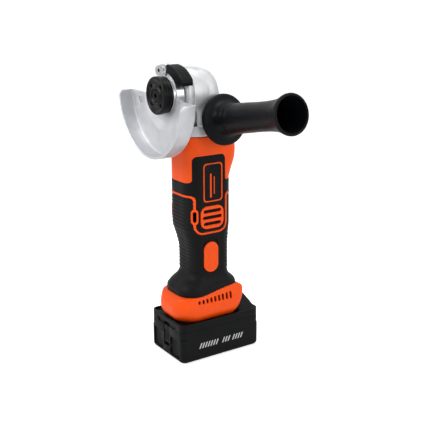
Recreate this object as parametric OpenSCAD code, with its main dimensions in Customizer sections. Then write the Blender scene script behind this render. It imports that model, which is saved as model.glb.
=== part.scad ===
// Cordless angle grinder standing on its battery pack.
// Z runs up along the body, the spindle points along -Y and the side handle leans out along +X.
// The origin is the centre of the pack's underside.

/* [Head] */
// Height of the spindle axis above the table
spindle_z = 333; // [328:0.5:338]
// Radius of the round front of the gear case
case_r = 31; // [30:0.5:33]
// Distance from the body centre to the gear case's front seam
seam_y = 31; // [30:0.5:32]
// Thickness of the gear case's mounting flange
case_flange_t = 13; // [11:0.5:14]
// Wall of the gear case
case_wall = 5; // [4:0.5:5.5]
// Thickness of the bearing box's rim
box_rim_t = 8; // [7:0.5:9]
// Radius of the neck that carries the guard
neck_r = 20.7; // [20:0.1:21.2]
// Length of the neck in front of the rim
neck_l = 13.5; // [12:0.5:14.5]

/* [Spindle] */
// Bore of the front spindle bearing
front_bore = 12; // [10:0.5:13]
// Outside diameter of the front spindle bearing
front_od = 32; // [30:1:34]
// Width of the front spindle bearing
front_w = 10; // [8:0.5:10]
// Bore of the rear spindle bearing
rear_bore = 7; // [6:0.5:8]
// Outside diameter of the rear spindle bearing
rear_od = 19; // [17:0.5:20]
// Width of the rear spindle bearing
rear_w = 6; // [5:0.5:6]
// Diameter of the threaded nose
nose_d = 14; // [12:0.5:16]
// Radius of the backing flange
flange_r = 20.5; // [19:0.25:20.5]
// Thickness of the backing flange
flange_t = 7; // [6:0.5:8]
// Radius of the lock nut
nut_r = 22.5; // [21:0.25:23]
// Thickness of the lock nut
nut_t = 6.5; // [5.5:0.25:7]
// Pitch circle of the lock nut's spanner holes
nut_pcd = 30; // [28:0.5:32]
// Diameter of the lock nut's spanner holes
nut_hole_d = 5; // [4:0.5:5.5]

/* [Gears] */
// Teeth on the crown gear
crown_teeth = 41; // [37:2:43]
// Teeth on the pinion
pinion_teeth = 11; // [10:1:11]
// Pitch radius of the crown gear at its outer end
crown_r = 24; // [23.5:0.1:24.2]
// Face width of both gears
gear_face = 6.5; // [5:0.5:7]

/* [Guard] */
// Outside radius of the guard
guard_r = 74; // [70:0.5:76]
// Sheet thickness of the guard
guard_t = 1.8; // [1.5:0.1:2.2]
// Depth of the guard's skirt
guard_depth = 21; // [18:0.5:24]
// How far the guard's cut edge lies below the spindle axis
guard_drop = 1.8; // [0:0.2:8]
// Thickness of the guard's collar
collar_t = 1.6; // [1.2:0.1:1.8]
// Thickness of the clamp band
band_t = 1.8; // [1.4:0.1:2]
// Width of the clamp band
band_w = 10; // [10:0.5:10.5]
// Height of the clamp lever's top above the spindle
lever_top = 36.2; // [35.5:0.1:36.6]
// Width of the clamp lever
lever_w = 16; // [14:0.5:16.5]
// Diameter of the clamp lever's pin
lever_pin_d = 4; // [3:0.5:4.5]

/* [Side handle] */
// Upward lean of the side handle
handle_lean = 10; // [6:1:12]
// Length of the side handle from the case to its end
handle_l = 144; // [130:2:156]
// Radius of the hand stop flange
stop_r = 30.7; // [28:0.5:32]
// Distance from the case to the outer face of the hand stop
stop_x = 17; // [15:0.5:18]
// Radius of the grip's waist
waist_r = 16.6; // [15:0.2:17.5]
// Radius of the flared end
bell_r = 23; // [21:0.5:25]
// Diameter of the handle's thread
thread_d = 8; // [7:0.5:9]
// Depth of the threaded holes in the case
thread_depth = 13; // [11:0.5:14]

/* [Housing] */
// Half width of the motor housing
motor_a = 28.75; // [28:0.25:30]
// Half depth of the motor housing
motor_b = 32.4; // [31.5:0.25:34]
// Corner radius of the motor housing
motor_r = 20; // [18:0.5:22]
// Height of the joint between the motor housing and the gear case
joint_z = 283; // [282:0.5:284]
// Bottom of the straight motor housing
motor_z = 172; // [170:0.5:174]
// Half width of the grip
grip_a = 25.5; // [25:0.25:26.5]
// Half depth of the grip
grip_b = 27.3; // [26.5:0.25:28.5]
// Corner radius of the grip
grip_r = 17; // [15:0.5:18]
// Top of the straight grip
grip_top = 140; // [138:0.5:142]
// Bottom of the straight grip
grip_low = 103; // [102:0.5:104]
// Wall of the housing shells
wall = 3.4; // [3.2:0.1:3.8]
// Thickness of the moulded black skins
skin = 1.5; // [1.3:0.1:1.6]
// Travel of the slide switch
switch_travel = 5; // [4:0.5:5]
// Width of the slide switch's cap
cap_w = 22; // [20:0.5:24]
// Length of the slide switch's cap
cap_l = 40; // [38:0.5:42]

/* [Base collar] */
// Half width where the collar meets the foot
collar_low_a = 27.5; // [24:0.5:32]
// Reach to the front where it meets the foot
collar_low_f = 49; // [44:0.5:52]
// Reach to the back where it meets the foot
collar_low_k = 24.4; // [20:0.5:30]
// Height of the widest line
collar_mid_z = 61; // [58:0.5:66]
// Half width at the widest line
collar_mid_a = 36; // [32:0.5:37]
// Reach to the front at the widest line
collar_mid_f = 57; // [50:0.5:57.4]
// Reach to the back at the widest line
collar_mid_k = 29; // [24:0.5:36]
// Height of the shoulder under the lip
collar_top_z = 79; // [74:0.5:84]
// Reach to the back at the shoulder
collar_top_k = 35; // [30:0.5:40]

/* [Motor] */
// Radius of the stator
stator_r = 25; // [24.4:0.1:25]
// Length of the stator
stator_l = 26; // [22:0.5:27]
// Radius of the rotor
rotor_r = 13; // [11:0.5:14]
// Diameter of the motor shaft
shaft_d = 8; // [7:0.25:8.5]
// Radius of the fan
fan_r = 21; // [18:0.5:22]
// Outside diameter of the top motor bearing
top_od = 22; // [21:0.5:23]
// Width of the motor bearings
motor_bearing_w = 7; // [6:0.5:7.5]

/* [Battery] */
// Length of the battery pack
pack_l = 115; // [113:0.5:117]
// Width of the battery pack
pack_w = 75; // [75:0.5:78]
// Height of the pack up to the tool's foot
pack_h = 41.5; // [41:0.5:43]
// Corner radius of the pack
pack_r = 6; // [4:0.5:8]
// Wall of the pack
pack_wall = 2.4; // [2:0.1:2.6]
// Height of the rail that slides into the foot
rail_h = 5; // [4.5:0.25:5]
// Half width of the rail
rail_a = 22; // [21:0.5:23]
// Height of the tool's foot
foot_h = 10.2; // [10:0.1:11]
// Diameter of a cell
cell_d = 18.4; // [18:0.1:18.6]

/* [Hidden] */
$fn = 48;
// Running clearance of a shaft in a bearing
run_gap = 0.05;
// Seating gap between pieces that only rest on each other
seat_gap = 0.3;
// Gap between bodies that pass each other
pass_gap = 0.5;

// Body
body_y = -5.2;
motor_f = body_y - motor_b;
motor_k = body_y + motor_b;
grip_y = -2.1;
grip_f = grip_y - grip_b;
grip_k = grip_y + grip_b;
foot_z = pack_h + seat_gap;
foot_top = foot_z + foot_h;
foot_lip = 3;
foot_floor = foot_top - foot_lip;
rail_top = pack_h + rail_h;
groove_h = 2;
groove_d = 3;
rail_f = -50;
rail_k = 44;
screw_y = 22;
screw_x = 18.5;

// Head, measured along Y
box_y = -seam_y - box_rim_t;
neck_y = box_y - neck_l;
front_y0 = -seam_y - 3;
front_y1 = front_y0 + front_w;
rear_y0 = 0.5;
rear_y1 = rear_y0 + rear_w;
flange_y1 = neck_y - pass_gap;
flange_y0 = flange_y1 - flange_t;
nut_y1 = flange_y0 - seat_gap;
nut_y0 = nut_y1 - nut_t;
nose_y = nut_y0 + 0.8;
seal_r = 8.5;

// Gears, in the plane of their shared pitch cone
cone_l = sqrt(crown_r * crown_r + pow(crown_r * pinion_teeth / crown_teeth, 2));
pinion_r = crown_r * pinion_teeth / crown_teeth;
face_k = (cone_l - gear_face) / cone_l;
addendum = 1;
dedendum = 1.3;
tooth_h = addendum + dedendum + 1;
crown_back = -14.8;
crown_hub = -2.8;
lock_r = 14.2;
lock_a = 155;
lock_x = lock_r * cos(lock_a);
lock_z = spindle_z + lock_r * sin(lock_a);
lock_travel = 3;
lock_pin_r = 2.4;
lock_cap_r = 5.5;
lock_seat = rear_y1 + 0.6;
lock_rest = lock_seat + lock_travel + 1.2;
lock_tip = -11.2;

// Guard
collar_r0 = neck_r + seat_gap;
collar_r1 = collar_r0 + collar_t;
band_r0 = collar_r1 + 0.2;
band_r1 = band_r0 + band_t;
guard_y = flange_y0 + 2.9;
guard_lean = 1.4;
dish_r = 38;
dish_y = guard_y + 2.5;
guard_z = spindle_z - guard_drop;
collar_y1 = box_y - pass_gap;
band_y0 = collar_y1 - 1.5 - band_w;
lever_y0 = band_y0 - 1;
lever_y1 = lever_y0 + lever_w;
lever_arc = 47;
lever_end_x = 37;
pin_x = -9;
pin_z = spindle_z + 29.5;
ear_t = 2.2;
ear_y0 = lever_y0 + 1.8;
ear_y1 = band_y0 + band_w - 0.9;
eye_r = 4.6;
eye_y0 = ear_y0 + ear_t + seat_gap;
eye_y1 = ear_y1 - ear_t - seat_gap;
lug_inset = 2.5;
cheek_t = 2.4;
lever_end_z = spindle_z + 12.5;

// Side handle, measured along its own axis from the case
handle_x = 30;
handle_y = 1.5;
handle_z = 302;
thread_r = thread_d / 2;

// Motor
fan_z = 232;
stator_z = 200;
low_bearing_z = 180;
low_od = 19;
low_bore = 7;
shaft_r = shaft_d / 2 - run_gap;
winding_h = 3.5;
board_z = 110;
board_h = 56;
button_y = -6.8;
cap_z = 109;
switch_z = 160;
tray_x = seat_gap - grip_a + wall;
cap_x = grip_a + 2.4;

// Inside of the pack
cell_r = cell_d / 2;
cell_gap = 1.2;
cell_l = pack_w - 10;
cell_pitch = cell_d + cell_gap;
cell_count = floor((pack_l - 16) / cell_pitch);
cell_z = pack_wall + seat_gap + 1.6 + cell_r;
lid_z = 31.5;
latch_w = 30;
latch_z = 18;
latch_h = 22;
latch_travel = 4;

orange = [0.93, 0.30, 0.07];
black = [0.07, 0.07, 0.075];
rubber = [0.10, 0.10, 0.105];
silver = [0.72, 0.73, 0.74];
zinc = [0.80, 0.80, 0.78];
steel = [0.55, 0.56, 0.58];
copper = [0.72, 0.40, 0.20];
green = [0.08, 0.30, 0.18];
blue = [0.15, 0.35, 0.62];

// ---------- Shared shapes ----------

// A solid drawn along +Y from an (x, z) outline.
module along_y(y0, y1, z = 0) {
    translate([0, y1, z]) rotate([90, 0, 0]) linear_extrude(y1 - y0) children();
}

// A solid drawn along +X from a (y, z) outline.
module along_x(x0, x1) {
    translate([x0, 0, 0]) rotate([90, 0, 90]) linear_extrude(x1 - x0) children();
}

module rod_y(r, y0, y1, x = 0, z = 0) {
    translate([x, y1, z]) rotate([90, 0, 0]) cylinder(h = y1 - y0, r = r);
}

module rod_x(r, x0, x1, y = 0, z = 0) {
    translate([x0, y, z]) rotate([0, 90, 0]) cylinder(h = x1 - x0, r = r);
}

module ring_y(r1, r0, y0, y1, x = 0, z = 0) {
    difference() {
        rod_y(r1, y0, y1, x, z);
        rod_y(r0, y0 - 1, y1 + 1, x, z);
    }
}

module ring_z(r1, r0, z0, z1) {
    difference() {
        translate([0, body_y, z0]) cylinder(h = z1 - z0, r = r1);
        translate([0, body_y, z0 - 1]) cylinder(h = z1 - z0 + 2, r = r0);
    }
}

// A rounded outline: half width a, front edge f, back edge k, corner radii rf and rk.
module outline(a, f, k, rf, rk) {
    for (s = [0, 1]) rotate([0, 0, 180 * s]) {
        translate([rf - a, s > 0 ? -f - rf : f + rf]) circle(r = rf);
        translate([rk - a, s > 0 ? rk - k : k - rk]) circle(r = rk);
    }
    polygon([[rf - a, f], [a - rf, f], [a, f + rf], [a, k - rk],
        [a - rk, k], [rk - a, k], [-a, k - rk], [-a, f + rf]]);
}

module slab(z, a, f, k, rf, rk, t = 0.5) {
    translate([0, 0, z]) linear_extrude(t) outline(a, f, k, rf, rk);
}

module side(s) {
    translate([s > 0 ? 0.05 : -200.05, -200, -10]) cube([200, 400, 500]);
}

// A rounded bar in a (y, z) outline.
module pill(y, z, w, h) {
    r = min(w, h) / 2;
    translate([y, z]) {
        square(w > h ? [w - h, h] : [w, h - w], center = true);
        for (s = [0, 1]) rotate([0, 0, 180 * s]) {
            translate([r - w / 2, r - h / 2]) circle(r = r);
        }
    }
}

module rounded_box(y, z, w, h, r) {
    translate([y, z]) {
        square([w, h - 2 * r], center = true);
        square([w - 2 * r, h], center = true);
        for (s = [0, 1], t = [-1, 1]) rotate([0, 0, 180 * s]) {
            translate([r - w / 2, t * (h / 2 - r)]) circle(r = r);
        }
    }
}

// ---------- Body form ----------
// Each form is drawn d inside the outer surface.

module motor_form(d, top = joint_z) {
    translate([0, 0, motor_z]) linear_extrude(top - motor_z) {
        outline(motor_a - d, motor_f + d, motor_k - d, motor_r - d, motor_r - d);
    }
}

module taper_form(d) {
    hull() {
        slab(motor_z - 0.4, motor_a - d, motor_f + d, motor_k - d, motor_r - d, motor_r - d);
        slab(grip_top - 0.1, grip_a - d, grip_f + d, grip_k - d, grip_r - d, grip_r - d);
    }
}

module grip_form(d) {
    translate([0, 0, grip_low]) linear_extrude(grip_top - grip_low + 0.2) {
        outline(grip_a - d, grip_f + d, grip_k - d, grip_r - d, grip_r - d);
    }
}

module flare_form(d) {
    hull() {
        slab(grip_low, grip_a - d, grip_f + d, grip_k - d, grip_r - d, grip_r - d);
        slab(95, grip_a + 2.7 - d, -36.5 + d, 31.5 - d, 18 - d, 11 - d);
        slab(86, grip_a + 5.8 - d, -45.5 + d, 34 - d, 20 - d, 9 - d);
        slab(77, grip_a + 8 - d, -51.5 + d, 34.8 - d, 20 - d, 8 - d);
    }
}

// The swelling at the back of the motor housing's top.
module bulge_form() {
    hull() {
        slab(233, motor_a - 1.8, body_y, motor_k + 3, 16, 16);
        slab(262, motor_a - 1, body_y, motor_k + 9, 16, 16);
        slab(joint_z - 0.5, motor_a - 1, body_y, motor_k + 4, 16, 16);
    }
}

module body_form(d) {
    motor_form(d);
    taper_form(d);
    grip_form(d);
    flare_form(d);
}

// Everything above the curved lip where the grip meets the base collar.
module above_lip() {
    along_x(-60, 60) {
        polygon([[-70, 76.5], [-50, 77.5], [-40, 79.5], [-30, 82], [-20, 83.6], [-8, 85.4],
            [4, 87.2], [16, 88], [60, 88], [60, 300], [-70, 300]]);
    }
}

label_y = body_y;
label_z = 226.5;
label_w = 28.4;
label_h = 49;
grille_y = -6.7;
grille_z = 183.2;
grille_w = 35;
grille_h = 31.4;
pipe = 2.5;
vent_z = 184.8;
vent_a = -36.6;

// The hard black panel, seen from the side.
module panel_outline() {
    difference() {
        polygon([[-60, 211.3], [-31, 211.3], [-28.6, 207.6], [-28.6, 168.5], [-27, 165.3],
            [-22.5, 163.7], [7, 163.7], [11.4, 165.6], [12.8, 169.5], [12.8, 208.5],
            [15.4, 211.3], [60, 211.3], [60, 227], [15.4, 227], [13.2, 230], [13.2, 254],
            [11.5, 258.3], [7.5, 260], [-26.5, 260], [-30, 258.3], [-31.5, 254.5],
            [-31.5, 231], [-34.5, 226.3], [-60, 226.3]]);
        rounded_box(label_y, label_z, label_w, label_h, 4);
        rounded_box(grille_y, grille_z, grille_w, grille_h, 9);
    }
}

// The soft grip, seen from the side.
module grip_outline() {
    difference() {
        polygon([[-60, 211.3 - pipe], [-33, 211.3 - pipe], [-28.6 - pipe, 205.5],
            [-28.6 - pipe, 167.5], [-28.6, 163], [-23.5, 163.7 - pipe], [8, 163.7 - pipe],
            [13.4, 163.3], [12.8 + pipe, 168], [12.8 + pipe, 206], [17.5, 211.3 - pipe],
            [60, 211.3 - pipe], [60, 70], [-60, 70]]);
        rounded_box(grille_y, grille_z, grille_w, grille_h, 9);
    }
}

module track_outline() {
    pill(button_y, cap_z + (cap_l + switch_travel) / 2, cap_w + 1.6, cap_l + switch_travel + 1.6);
}

// A (y, z) outline extruded from x0 to x1 on the side s.
module on_side(s, x0, x1) {
    mirror([s < 0 ? 1 : 0, 0, 0]) along_x(x0, x1) children();
}

// A shape set on the rounded front corner of the motor housing, facing out of it.
module on_corner(s, r0, r1) {
    mirror([s < 0 ? 1 : 0, 0, 0]) {
        translate([motor_a - motor_r, motor_f + motor_r, 0]) rotate([0, 0, vent_a]) {
            along_x(r0, r1) children();
        }
    }
}

// ---------- Housing ----------

module housing(s) {
    color(orange) intersection() {
        side(s);
        difference() {
            union() {
                difference() {
                    union() {
                        intersection() {
                            body_form(0);
                            above_lip();
                        }
                        bulge_form();
                    }
                    motor_form(wall, joint_z + 1);
                    taper_form(wall);
                    grip_form(wall);
                    flare_form(wall);
                }
                housing_bosses();
            }
            // Recesses for the black panel and the grip
            difference() {
                along_x(-40, 40) {
                    panel_outline();
                    grip_outline();
                }
                motor_form(skin, joint_z + 1);
                skin_core();
            }
            // Recesses for the label plates
            for (t = [-1, 1]) {
                on_side(t, motor_a - 0.9, motor_a + 1) {
                    rounded_box(label_y, label_z, label_w - 2 * pipe, label_h - 2 * pipe, 3);
                }
                // Windows behind the grilles
                on_side(t, 20, 40) {
                    rounded_box(grille_y, grille_z, grille_w - 5, grille_h - 5, 6);
                }
                on_corner(t, 10, 30) pill(0, vent_z, 4.4, 14.4);
            }
            grille_seats();
            // Window and track of the slide switch
            along_x(10, 40) {
                pill(button_y, cap_z + (cap_l + switch_travel) / 2, 11, cap_l - 8 + switch_travel);
            }
            along_x(grip_a - skin, 40) track_outline();
            housing_bores();
        }
    }
}

// The housing's inside step behind the skins below the motor.
module skin_core() {
    taper_form(skin);
    grip_form(skin);
    flare_form(skin);
}

module grille_seats() {
    for (t = [-1, 1]) {
        on_side(t, motor_a - 2, 40) {
            rounded_box(grille_y, grille_z, grille_w, grille_h, 9);
        }
        on_corner(t, motor_r - 1.9, 30) pill(0, vent_z, 8.5, 20.7);
    }
}

screw_head_x = 21.5;
screw_spots = [[-25, 254], [18, 252], [18.5, 184], [-22, 120], [17.5, 135]];

module housing_bosses() {
    intersection() {
        union() {
            // Seat wall of the lower motor bearing
            difference() {
                motor_form(wall - 0.2, low_bearing_z + 9);
                translate([0, 0, motor_z - 1]) linear_extrude(7) square(200, center = true);
            }
            // Clamping bosses
            for (p = screw_spots) rod_x(3.2, -motor_a, motor_a, p[0], p[1]);
            // Bosses that take the gear case's screws
            for (t = [-1, 1], u = [-1, 1]) {
                translate([t * screw_x, body_y + u * screw_y, joint_z - 22]) cylinder(h = 22, r = 4.4);
            }
        }
        union() {
            motor_form(0.5);
            grip_form(0.5);
        }
    }
}

module housing_bores() {
    translate([0, body_y, low_bearing_z]) cylinder(h = motor_bearing_w, r = low_od / 2);
    translate([0, body_y, motor_z - 5]) cylinder(h = 30, r = low_bore / 2 + 2);
    for (p = screw_spots) {
        rod_x(1.6, -40, 12, p[0], p[1]);
        rod_x(2.9, -40, 2.2 - screw_head_x, p[0], p[1]);
    }
    for (t = [-1, 1], u = [-1, 1]) {
        translate([t * screw_x, body_y + u * screw_y, joint_z - 20]) cylinder(h = 30, r = 2);
    }
    for (t = [-1, 0, 1]) {
        translate([-19, body_y + 6 * t, motor_z]) cylinder(h = 30, r = 1.6);
    }
}

module housing_left() { housing(-1); }

module housing_right() { housing(1); }

module side_panel(s) {
    color(black) intersection() {
        side(s);
        along_x(-40, 40) panel_outline();
        difference() {
            union() {
                motor_form(0, joint_z - 1);
                taper_form(0);
            }
            motor_form(skin, joint_z);
            taper_form(skin);
            grille_seats();
            if (s < 0) housing_bores();
        }
    }
}

module side_panel_left() { side_panel(-1); }

module side_panel_right() { side_panel(1); }

module grip_skin(s) {
    color(rubber) intersection() {
        side(s);
        above_lip();
        along_x(-40, 40) grip_outline();
        difference() {
            body_form(0);
            motor_form(skin, joint_z);
            skin_core();
            grille_seats();
            if (s > 0) along_x(10, 40) track_outline();
            if (s < 0) housing_bores();
        }
    }
}

module grip_left() { grip_skin(-1); }

module grip_right() { grip_skin(1); }

module label_plates() {
    for (t = [-1, 1]) {
        color(black) on_side(t, motor_a - 0.9, motor_a - 0.1) {
            rounded_box(label_y, label_z, label_w - 2 * pipe, label_h - 2 * pipe, 3);
        }
    }
}

module vent_grilles() {
    for (t = [-1, 1]) {
        color(orange) intersection() {
            motor_form(0);
            on_side(t, motor_a - 2, 40) difference() {
                rounded_box(grille_y, grille_z, grille_w, grille_h, 9);
                for (k = [-1, 0, 1]) pill(grille_y, grille_z + 9.2 * k, 27, 3.4);
            }
        }
    }
}

module corner_vents() {
    for (t = [-1, 1]) {
        color(orange) on_corner(t, motor_r - 1.9, motor_r + 0.6) {
            difference() {
                pill(0, vent_z, 8.5, 20.7);
                pill(0, vent_z, 3.6, 13.6);
            }
        }
    }
}

module housing_screws() {
    for (p = screw_spots) {
        color(steel) difference() {
            union() {
                rod_x(1.5, 1 - screw_head_x, 11.6, p[0], p[1]);
                rod_x(2.7, -screw_head_x, 2.2 - screw_head_x, p[0], p[1]);
            }
            rod_x(1.1, -screw_head_x - 1, 1.2 - screw_head_x, p[0], p[1]);
        }
    }
}

// ---------- Motor and electronics ----------

module bearing_z(od, bore, z0) {
    color(steel) ring_z(od / 2, bore / 2, z0, z0 + motor_bearing_w);
}

module motor_bearing_top() { bearing_z(top_od, shaft_d, joint_z); }

module motor_bearing_low() { bearing_z(low_od, low_bore, low_bearing_z); }

module stator() {
    color(steel) difference() {
        ring_z(stator_r, rotor_r + 0.5, stator_z, stator_z + stator_l);
        for (k = [0:5]) {
            translate([0, body_y, stator_z - 1]) rotate([0, 0, 30 + 60 * k]) {
                translate([17, -2, 0]) cube([4.5, 4, stator_l + 2]);
            }
        }
    }
}

module windings() {
    color(copper) {
        ring_z(22, 15, stator_z + stator_l, stator_z + stator_l + winding_h);
        ring_z(22, 15, stator_z - winding_h, stator_z);
    }
}

module fan_baffle() {
    color(black) translate([0, 0, fan_z + 13]) linear_extrude(2.5) {
        difference() {
            outline(motor_a - wall - seat_gap, motor_f + wall + seat_gap,
                motor_k - wall - seat_gap, motor_r - wall, motor_r - wall);
            translate([0, body_y]) circle(r = 15);
        }
    }
}

module controller() {
    color(black) difference() {
        translate([tray_x, -13.5, board_z]) cube([9, 22.5, board_h]);
        translate([tray_x + 1.6, -12, board_z + 1.6]) cube([9, 19.5, board_h - 3.2]);
    }
}

module controller_board() {
    color(green) translate([tray_x + 1.6, -11.8, board_z + 2]) cube([1.6, 19, board_h - 4]);
    color(steel) for (k = [0:2]) {
        translate([tray_x + 3.2, -10 + 6 * k, board_z + 8]) cube([4, 4.5, 9]);
    }
}

module phase_wires() {
    color(copper) for (t = [-1, 0, 1]) {
        translate([-19, body_y + 6 * t, board_z + board_h]) {
            cylinder(h = stator_z - winding_h - board_z - board_h, r = 1.2);
        }
    }
}

module battery_leads() {
    color("darkred") for (t = [0, 1]) {
        translate([-15, 6 * t - 1, foot_floor + 11]) {
            cylinder(h = board_z - foot_floor - 11, r = 1.4);
        }
    }
}

module microswitch() {
    color(black) translate([12, button_y - 6, switch_z]) cube([10, 12, motor_z + 6 - switch_z]);
}

// ---------- Slide switch ----------

module switch_track() {
    color(black) along_x(grip_a - skin, grip_a - 0.6) {
        difference() {
            track_outline();
            pill(button_y, cap_z + (cap_l + switch_travel) / 2, 11, cap_l - 8 + switch_travel);
        }
    }
}

module switch_cap() {
    color(orange) along_x(grip_a - 0.3, cap_x) pill(button_y, cap_z + cap_l / 2, cap_w, cap_l);
}

module switch_rod() {
    color(black) along_x(14, grip_a - 0.3) {
        pill(button_y, cap_z + cap_l / 2, 9, cap_l - 16);
    }
    color(black) translate([14, button_y - 2, cap_z + cap_l / 2]) {
        cube([4, 4, switch_z - switch_travel - pass_gap - cap_z - cap_l / 2]);
    }
}

// ---------- Gear head ----------

module case_form() {
    hull() {
        rod_y(case_r, -seam_y, 12 - seam_y, 0, spindle_z);
        rod_y(case_r - 0.8, 21 - seam_y, 21.5 - seam_y, 0, spindle_z);
        rod_y(case_r - 7, 0, 0.5, 0, spindle_z);
        translate([0, 0, spindle_z - 2]) sphere(r = 19.5, $fn = 32);
        for (s = [-1, 1]) translate([8 * s, 6, spindle_z - 11]) sphere(r = 13.5, $fn = 32);
        slab(joint_z + case_flange_t - 1, motor_a - 1.5, -seam_y, motor_k - 1, 15, 15);
    }
}

module case_cavity() {
    hull() {
        rod_y(case_r - case_wall, -seam_y - 1, 16 - seam_y, 0, spindle_z);
        rod_y(case_r - case_wall - 0.6, 21 - seam_y, 21.5 - seam_y, 0, spindle_z);
        rod_y(case_r - case_wall - 6.5, 0, 0.5, 0, spindle_z);
        for (s = [-1, 1]) translate([8 * s, 5, spindle_z - 11]) sphere(r = 9.5, $fn = 32);
        slab(joint_z + case_flange_t - 3, 17, -20, 14, 10, 10);
    }
}

module on_handle_axis(s = 1) {
    mirror([s < 0 ? 1 : 0, 0, 0]) {
        translate([handle_x, handle_y, handle_z]) rotate([0, 90 - handle_lean, 0]) children();
    }
}

module gear_case() {
    color(silver) difference() {
        union() {
            difference() {
                union() {
                    case_form();
                    translate([0, 0, joint_z]) linear_extrude(case_flange_t) {
                        outline(motor_a, motor_f, motor_k + 4, motor_r, motor_r);
                    }
                }
                case_cavity();
            }
            intersection() {
                case_form();
                union() {
                    rod_y(rear_od / 2 + 4.5, rear_y0, 30, 0, spindle_z);
                    rod_y(lock_cap_r + 2.6, rear_y0, 30, lock_x, lock_z);
                }
            }
            rod_y(lock_cap_r + 2.6, rear_y0 + 4, lock_rest + 2.3, lock_x, lock_z);
            for (s = [-1, 1]) {
                on_handle_axis(s) translate([0, 0, -thread_depth - 3]) {
                    cylinder(h = thread_depth + 4.6, r = 9.5);
                }
            }
        }
        // Bearing seats and shaft passages
        rod_y(rear_od / 2, rear_y0 - 1, rear_y1, 0, spindle_z);
        translate([0, body_y, joint_z - 1]) cylinder(h = motor_bearing_w + 1, r = top_od / 2);
        translate([0, body_y, joint_z - 1]) cylinder(h = 20, r = shaft_d / 2 + 3.4);
        // Lock button's stepped bore
        rod_y(lock_pin_r + 0.15, rear_y0 - 1, 40, lock_x, lock_z);
        rod_y(lock_cap_r + 0.2, lock_seat, 40, lock_x, lock_z);
        // Threaded holes for the side handle
        for (s = [-1, 1]) {
            on_handle_axis(s) translate([0, 0, 1.6 - thread_depth]) {
                cylinder(h = thread_depth + 5, r = thread_r);
            }
        }
        // Flange holes and the pockets above them
        for (t = [-1, 1], u = [-1, 1]) {
            translate([t * screw_x, body_y + u * screw_y, joint_z - 1]) cylinder(h = 40, r = 2.5);
            translate([t * (screw_x + 1), body_y + u * (screw_y + 1), joint_z + case_flange_t]) {
                cylinder(h = 21, r = 5.6);
            }
        }
        // Screw holes of the bearing box
        for (a = [45:90:315]) {
            rod_y(1.7, -seam_y - 1, 12 - seam_y, 28 * cos(a), spindle_z + 28 * sin(a));
        }
    }
}

module gear_case_screws() {
    for (t = [-1, 1], u = [-1, 1]) {
        color(zinc) translate([t * screw_x, body_y + u * screw_y, joint_z - 19]) {
            cylinder(h = 19 + case_flange_t, r = 2);
            difference() {
                translate([0, 0, 19 + case_flange_t]) cylinder(h = 4, r = 3.9);
                translate([0, 0, 19 + case_flange_t + 1.5]) cylinder(h = 4, r = 1.8, $fn = 6);
            }
        }
    }
}

module bearing_box() {
    color(silver) difference() {
        union() {
            rod_y(case_r, box_y, -seam_y, 0, spindle_z);
            rod_y(case_r - case_wall - 0.1, -seam_y - 1, 6 - seam_y, 0, spindle_z);
            rod_y(neck_r, neck_y, box_y + 1, 0, spindle_z);
        }
        rod_y(front_od / 2, front_y0, 10 - seam_y, 0, spindle_z);
        rod_y(seal_r + 0.5, neck_y - 1, front_y0 + 1, 0, spindle_z);
        for (a = [45:90:315]) {
            rod_y(2, box_y - 1, -seam_y + 1, 28 * cos(a), spindle_z + 28 * sin(a));
            rod_y(2.95, box_y - 1, box_y + 3, 28 * cos(a), spindle_z + 28 * sin(a));
        }
    }
}

module bearing_box_screws() {
    color(zinc) for (a = [45:90:315]) {
        rod_y(1.65, box_y + 2, 11 - seam_y, 28 * cos(a), spindle_z + 28 * sin(a));
        rod_y(2.8, box_y + 0.2, box_y + 3, 28 * cos(a), spindle_z + 28 * sin(a));
    }
}

module front_bearing() {
    color(steel) ring_y(front_od / 2, front_bore / 2, front_y0, front_y1, 0, spindle_z);
}

module rear_bearing() {
    color(steel) ring_y(rear_od / 2, rear_bore / 2, rear_y0, rear_y1, 0, spindle_z);
}

module lock_button() {
    color(rubber) {
        rod_y(lock_cap_r, lock_rest, lock_rest + 5.3, lock_x, lock_z);
        rod_y(lock_pin_r, lock_tip, lock_rest + 1, lock_x, lock_z);
    }
}

module lock_spring() {
    color(steel) ring_y(lock_cap_r - 0.4, lock_pin_r + 0.5, lock_seat, lock_seat + 1, lock_x, lock_z);
}

// ---------- Spindle ----------

module spindle() {
    color(steel) difference() {
        union() {
            rod_y(rear_bore / 2 - run_gap, rear_y0 - 0.5, rear_y1 - seat_gap, 0, spindle_z);
            rod_y(front_bore / 2 - run_gap, front_y0 - 0.5, rear_y0 - 0.5, 0, spindle_z);
            rod_y(seal_r, flange_y1, front_y0 - 0.4, 0, spindle_z);
            rod_y(nose_d / 2 - run_gap, nose_y, flange_y1 + 1, 0, spindle_z);
        }
        rod_y(2.6, nose_y - 1, nose_y + 7, 0, spindle_z);
    }
}

// Points of a gear blank on its pitch cone, as (radius, distance from the apex along the axis).
function on_cone(r, h, k, up) = [r * k + up * h / cone_l, h * k - up * r / cone_l];

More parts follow.
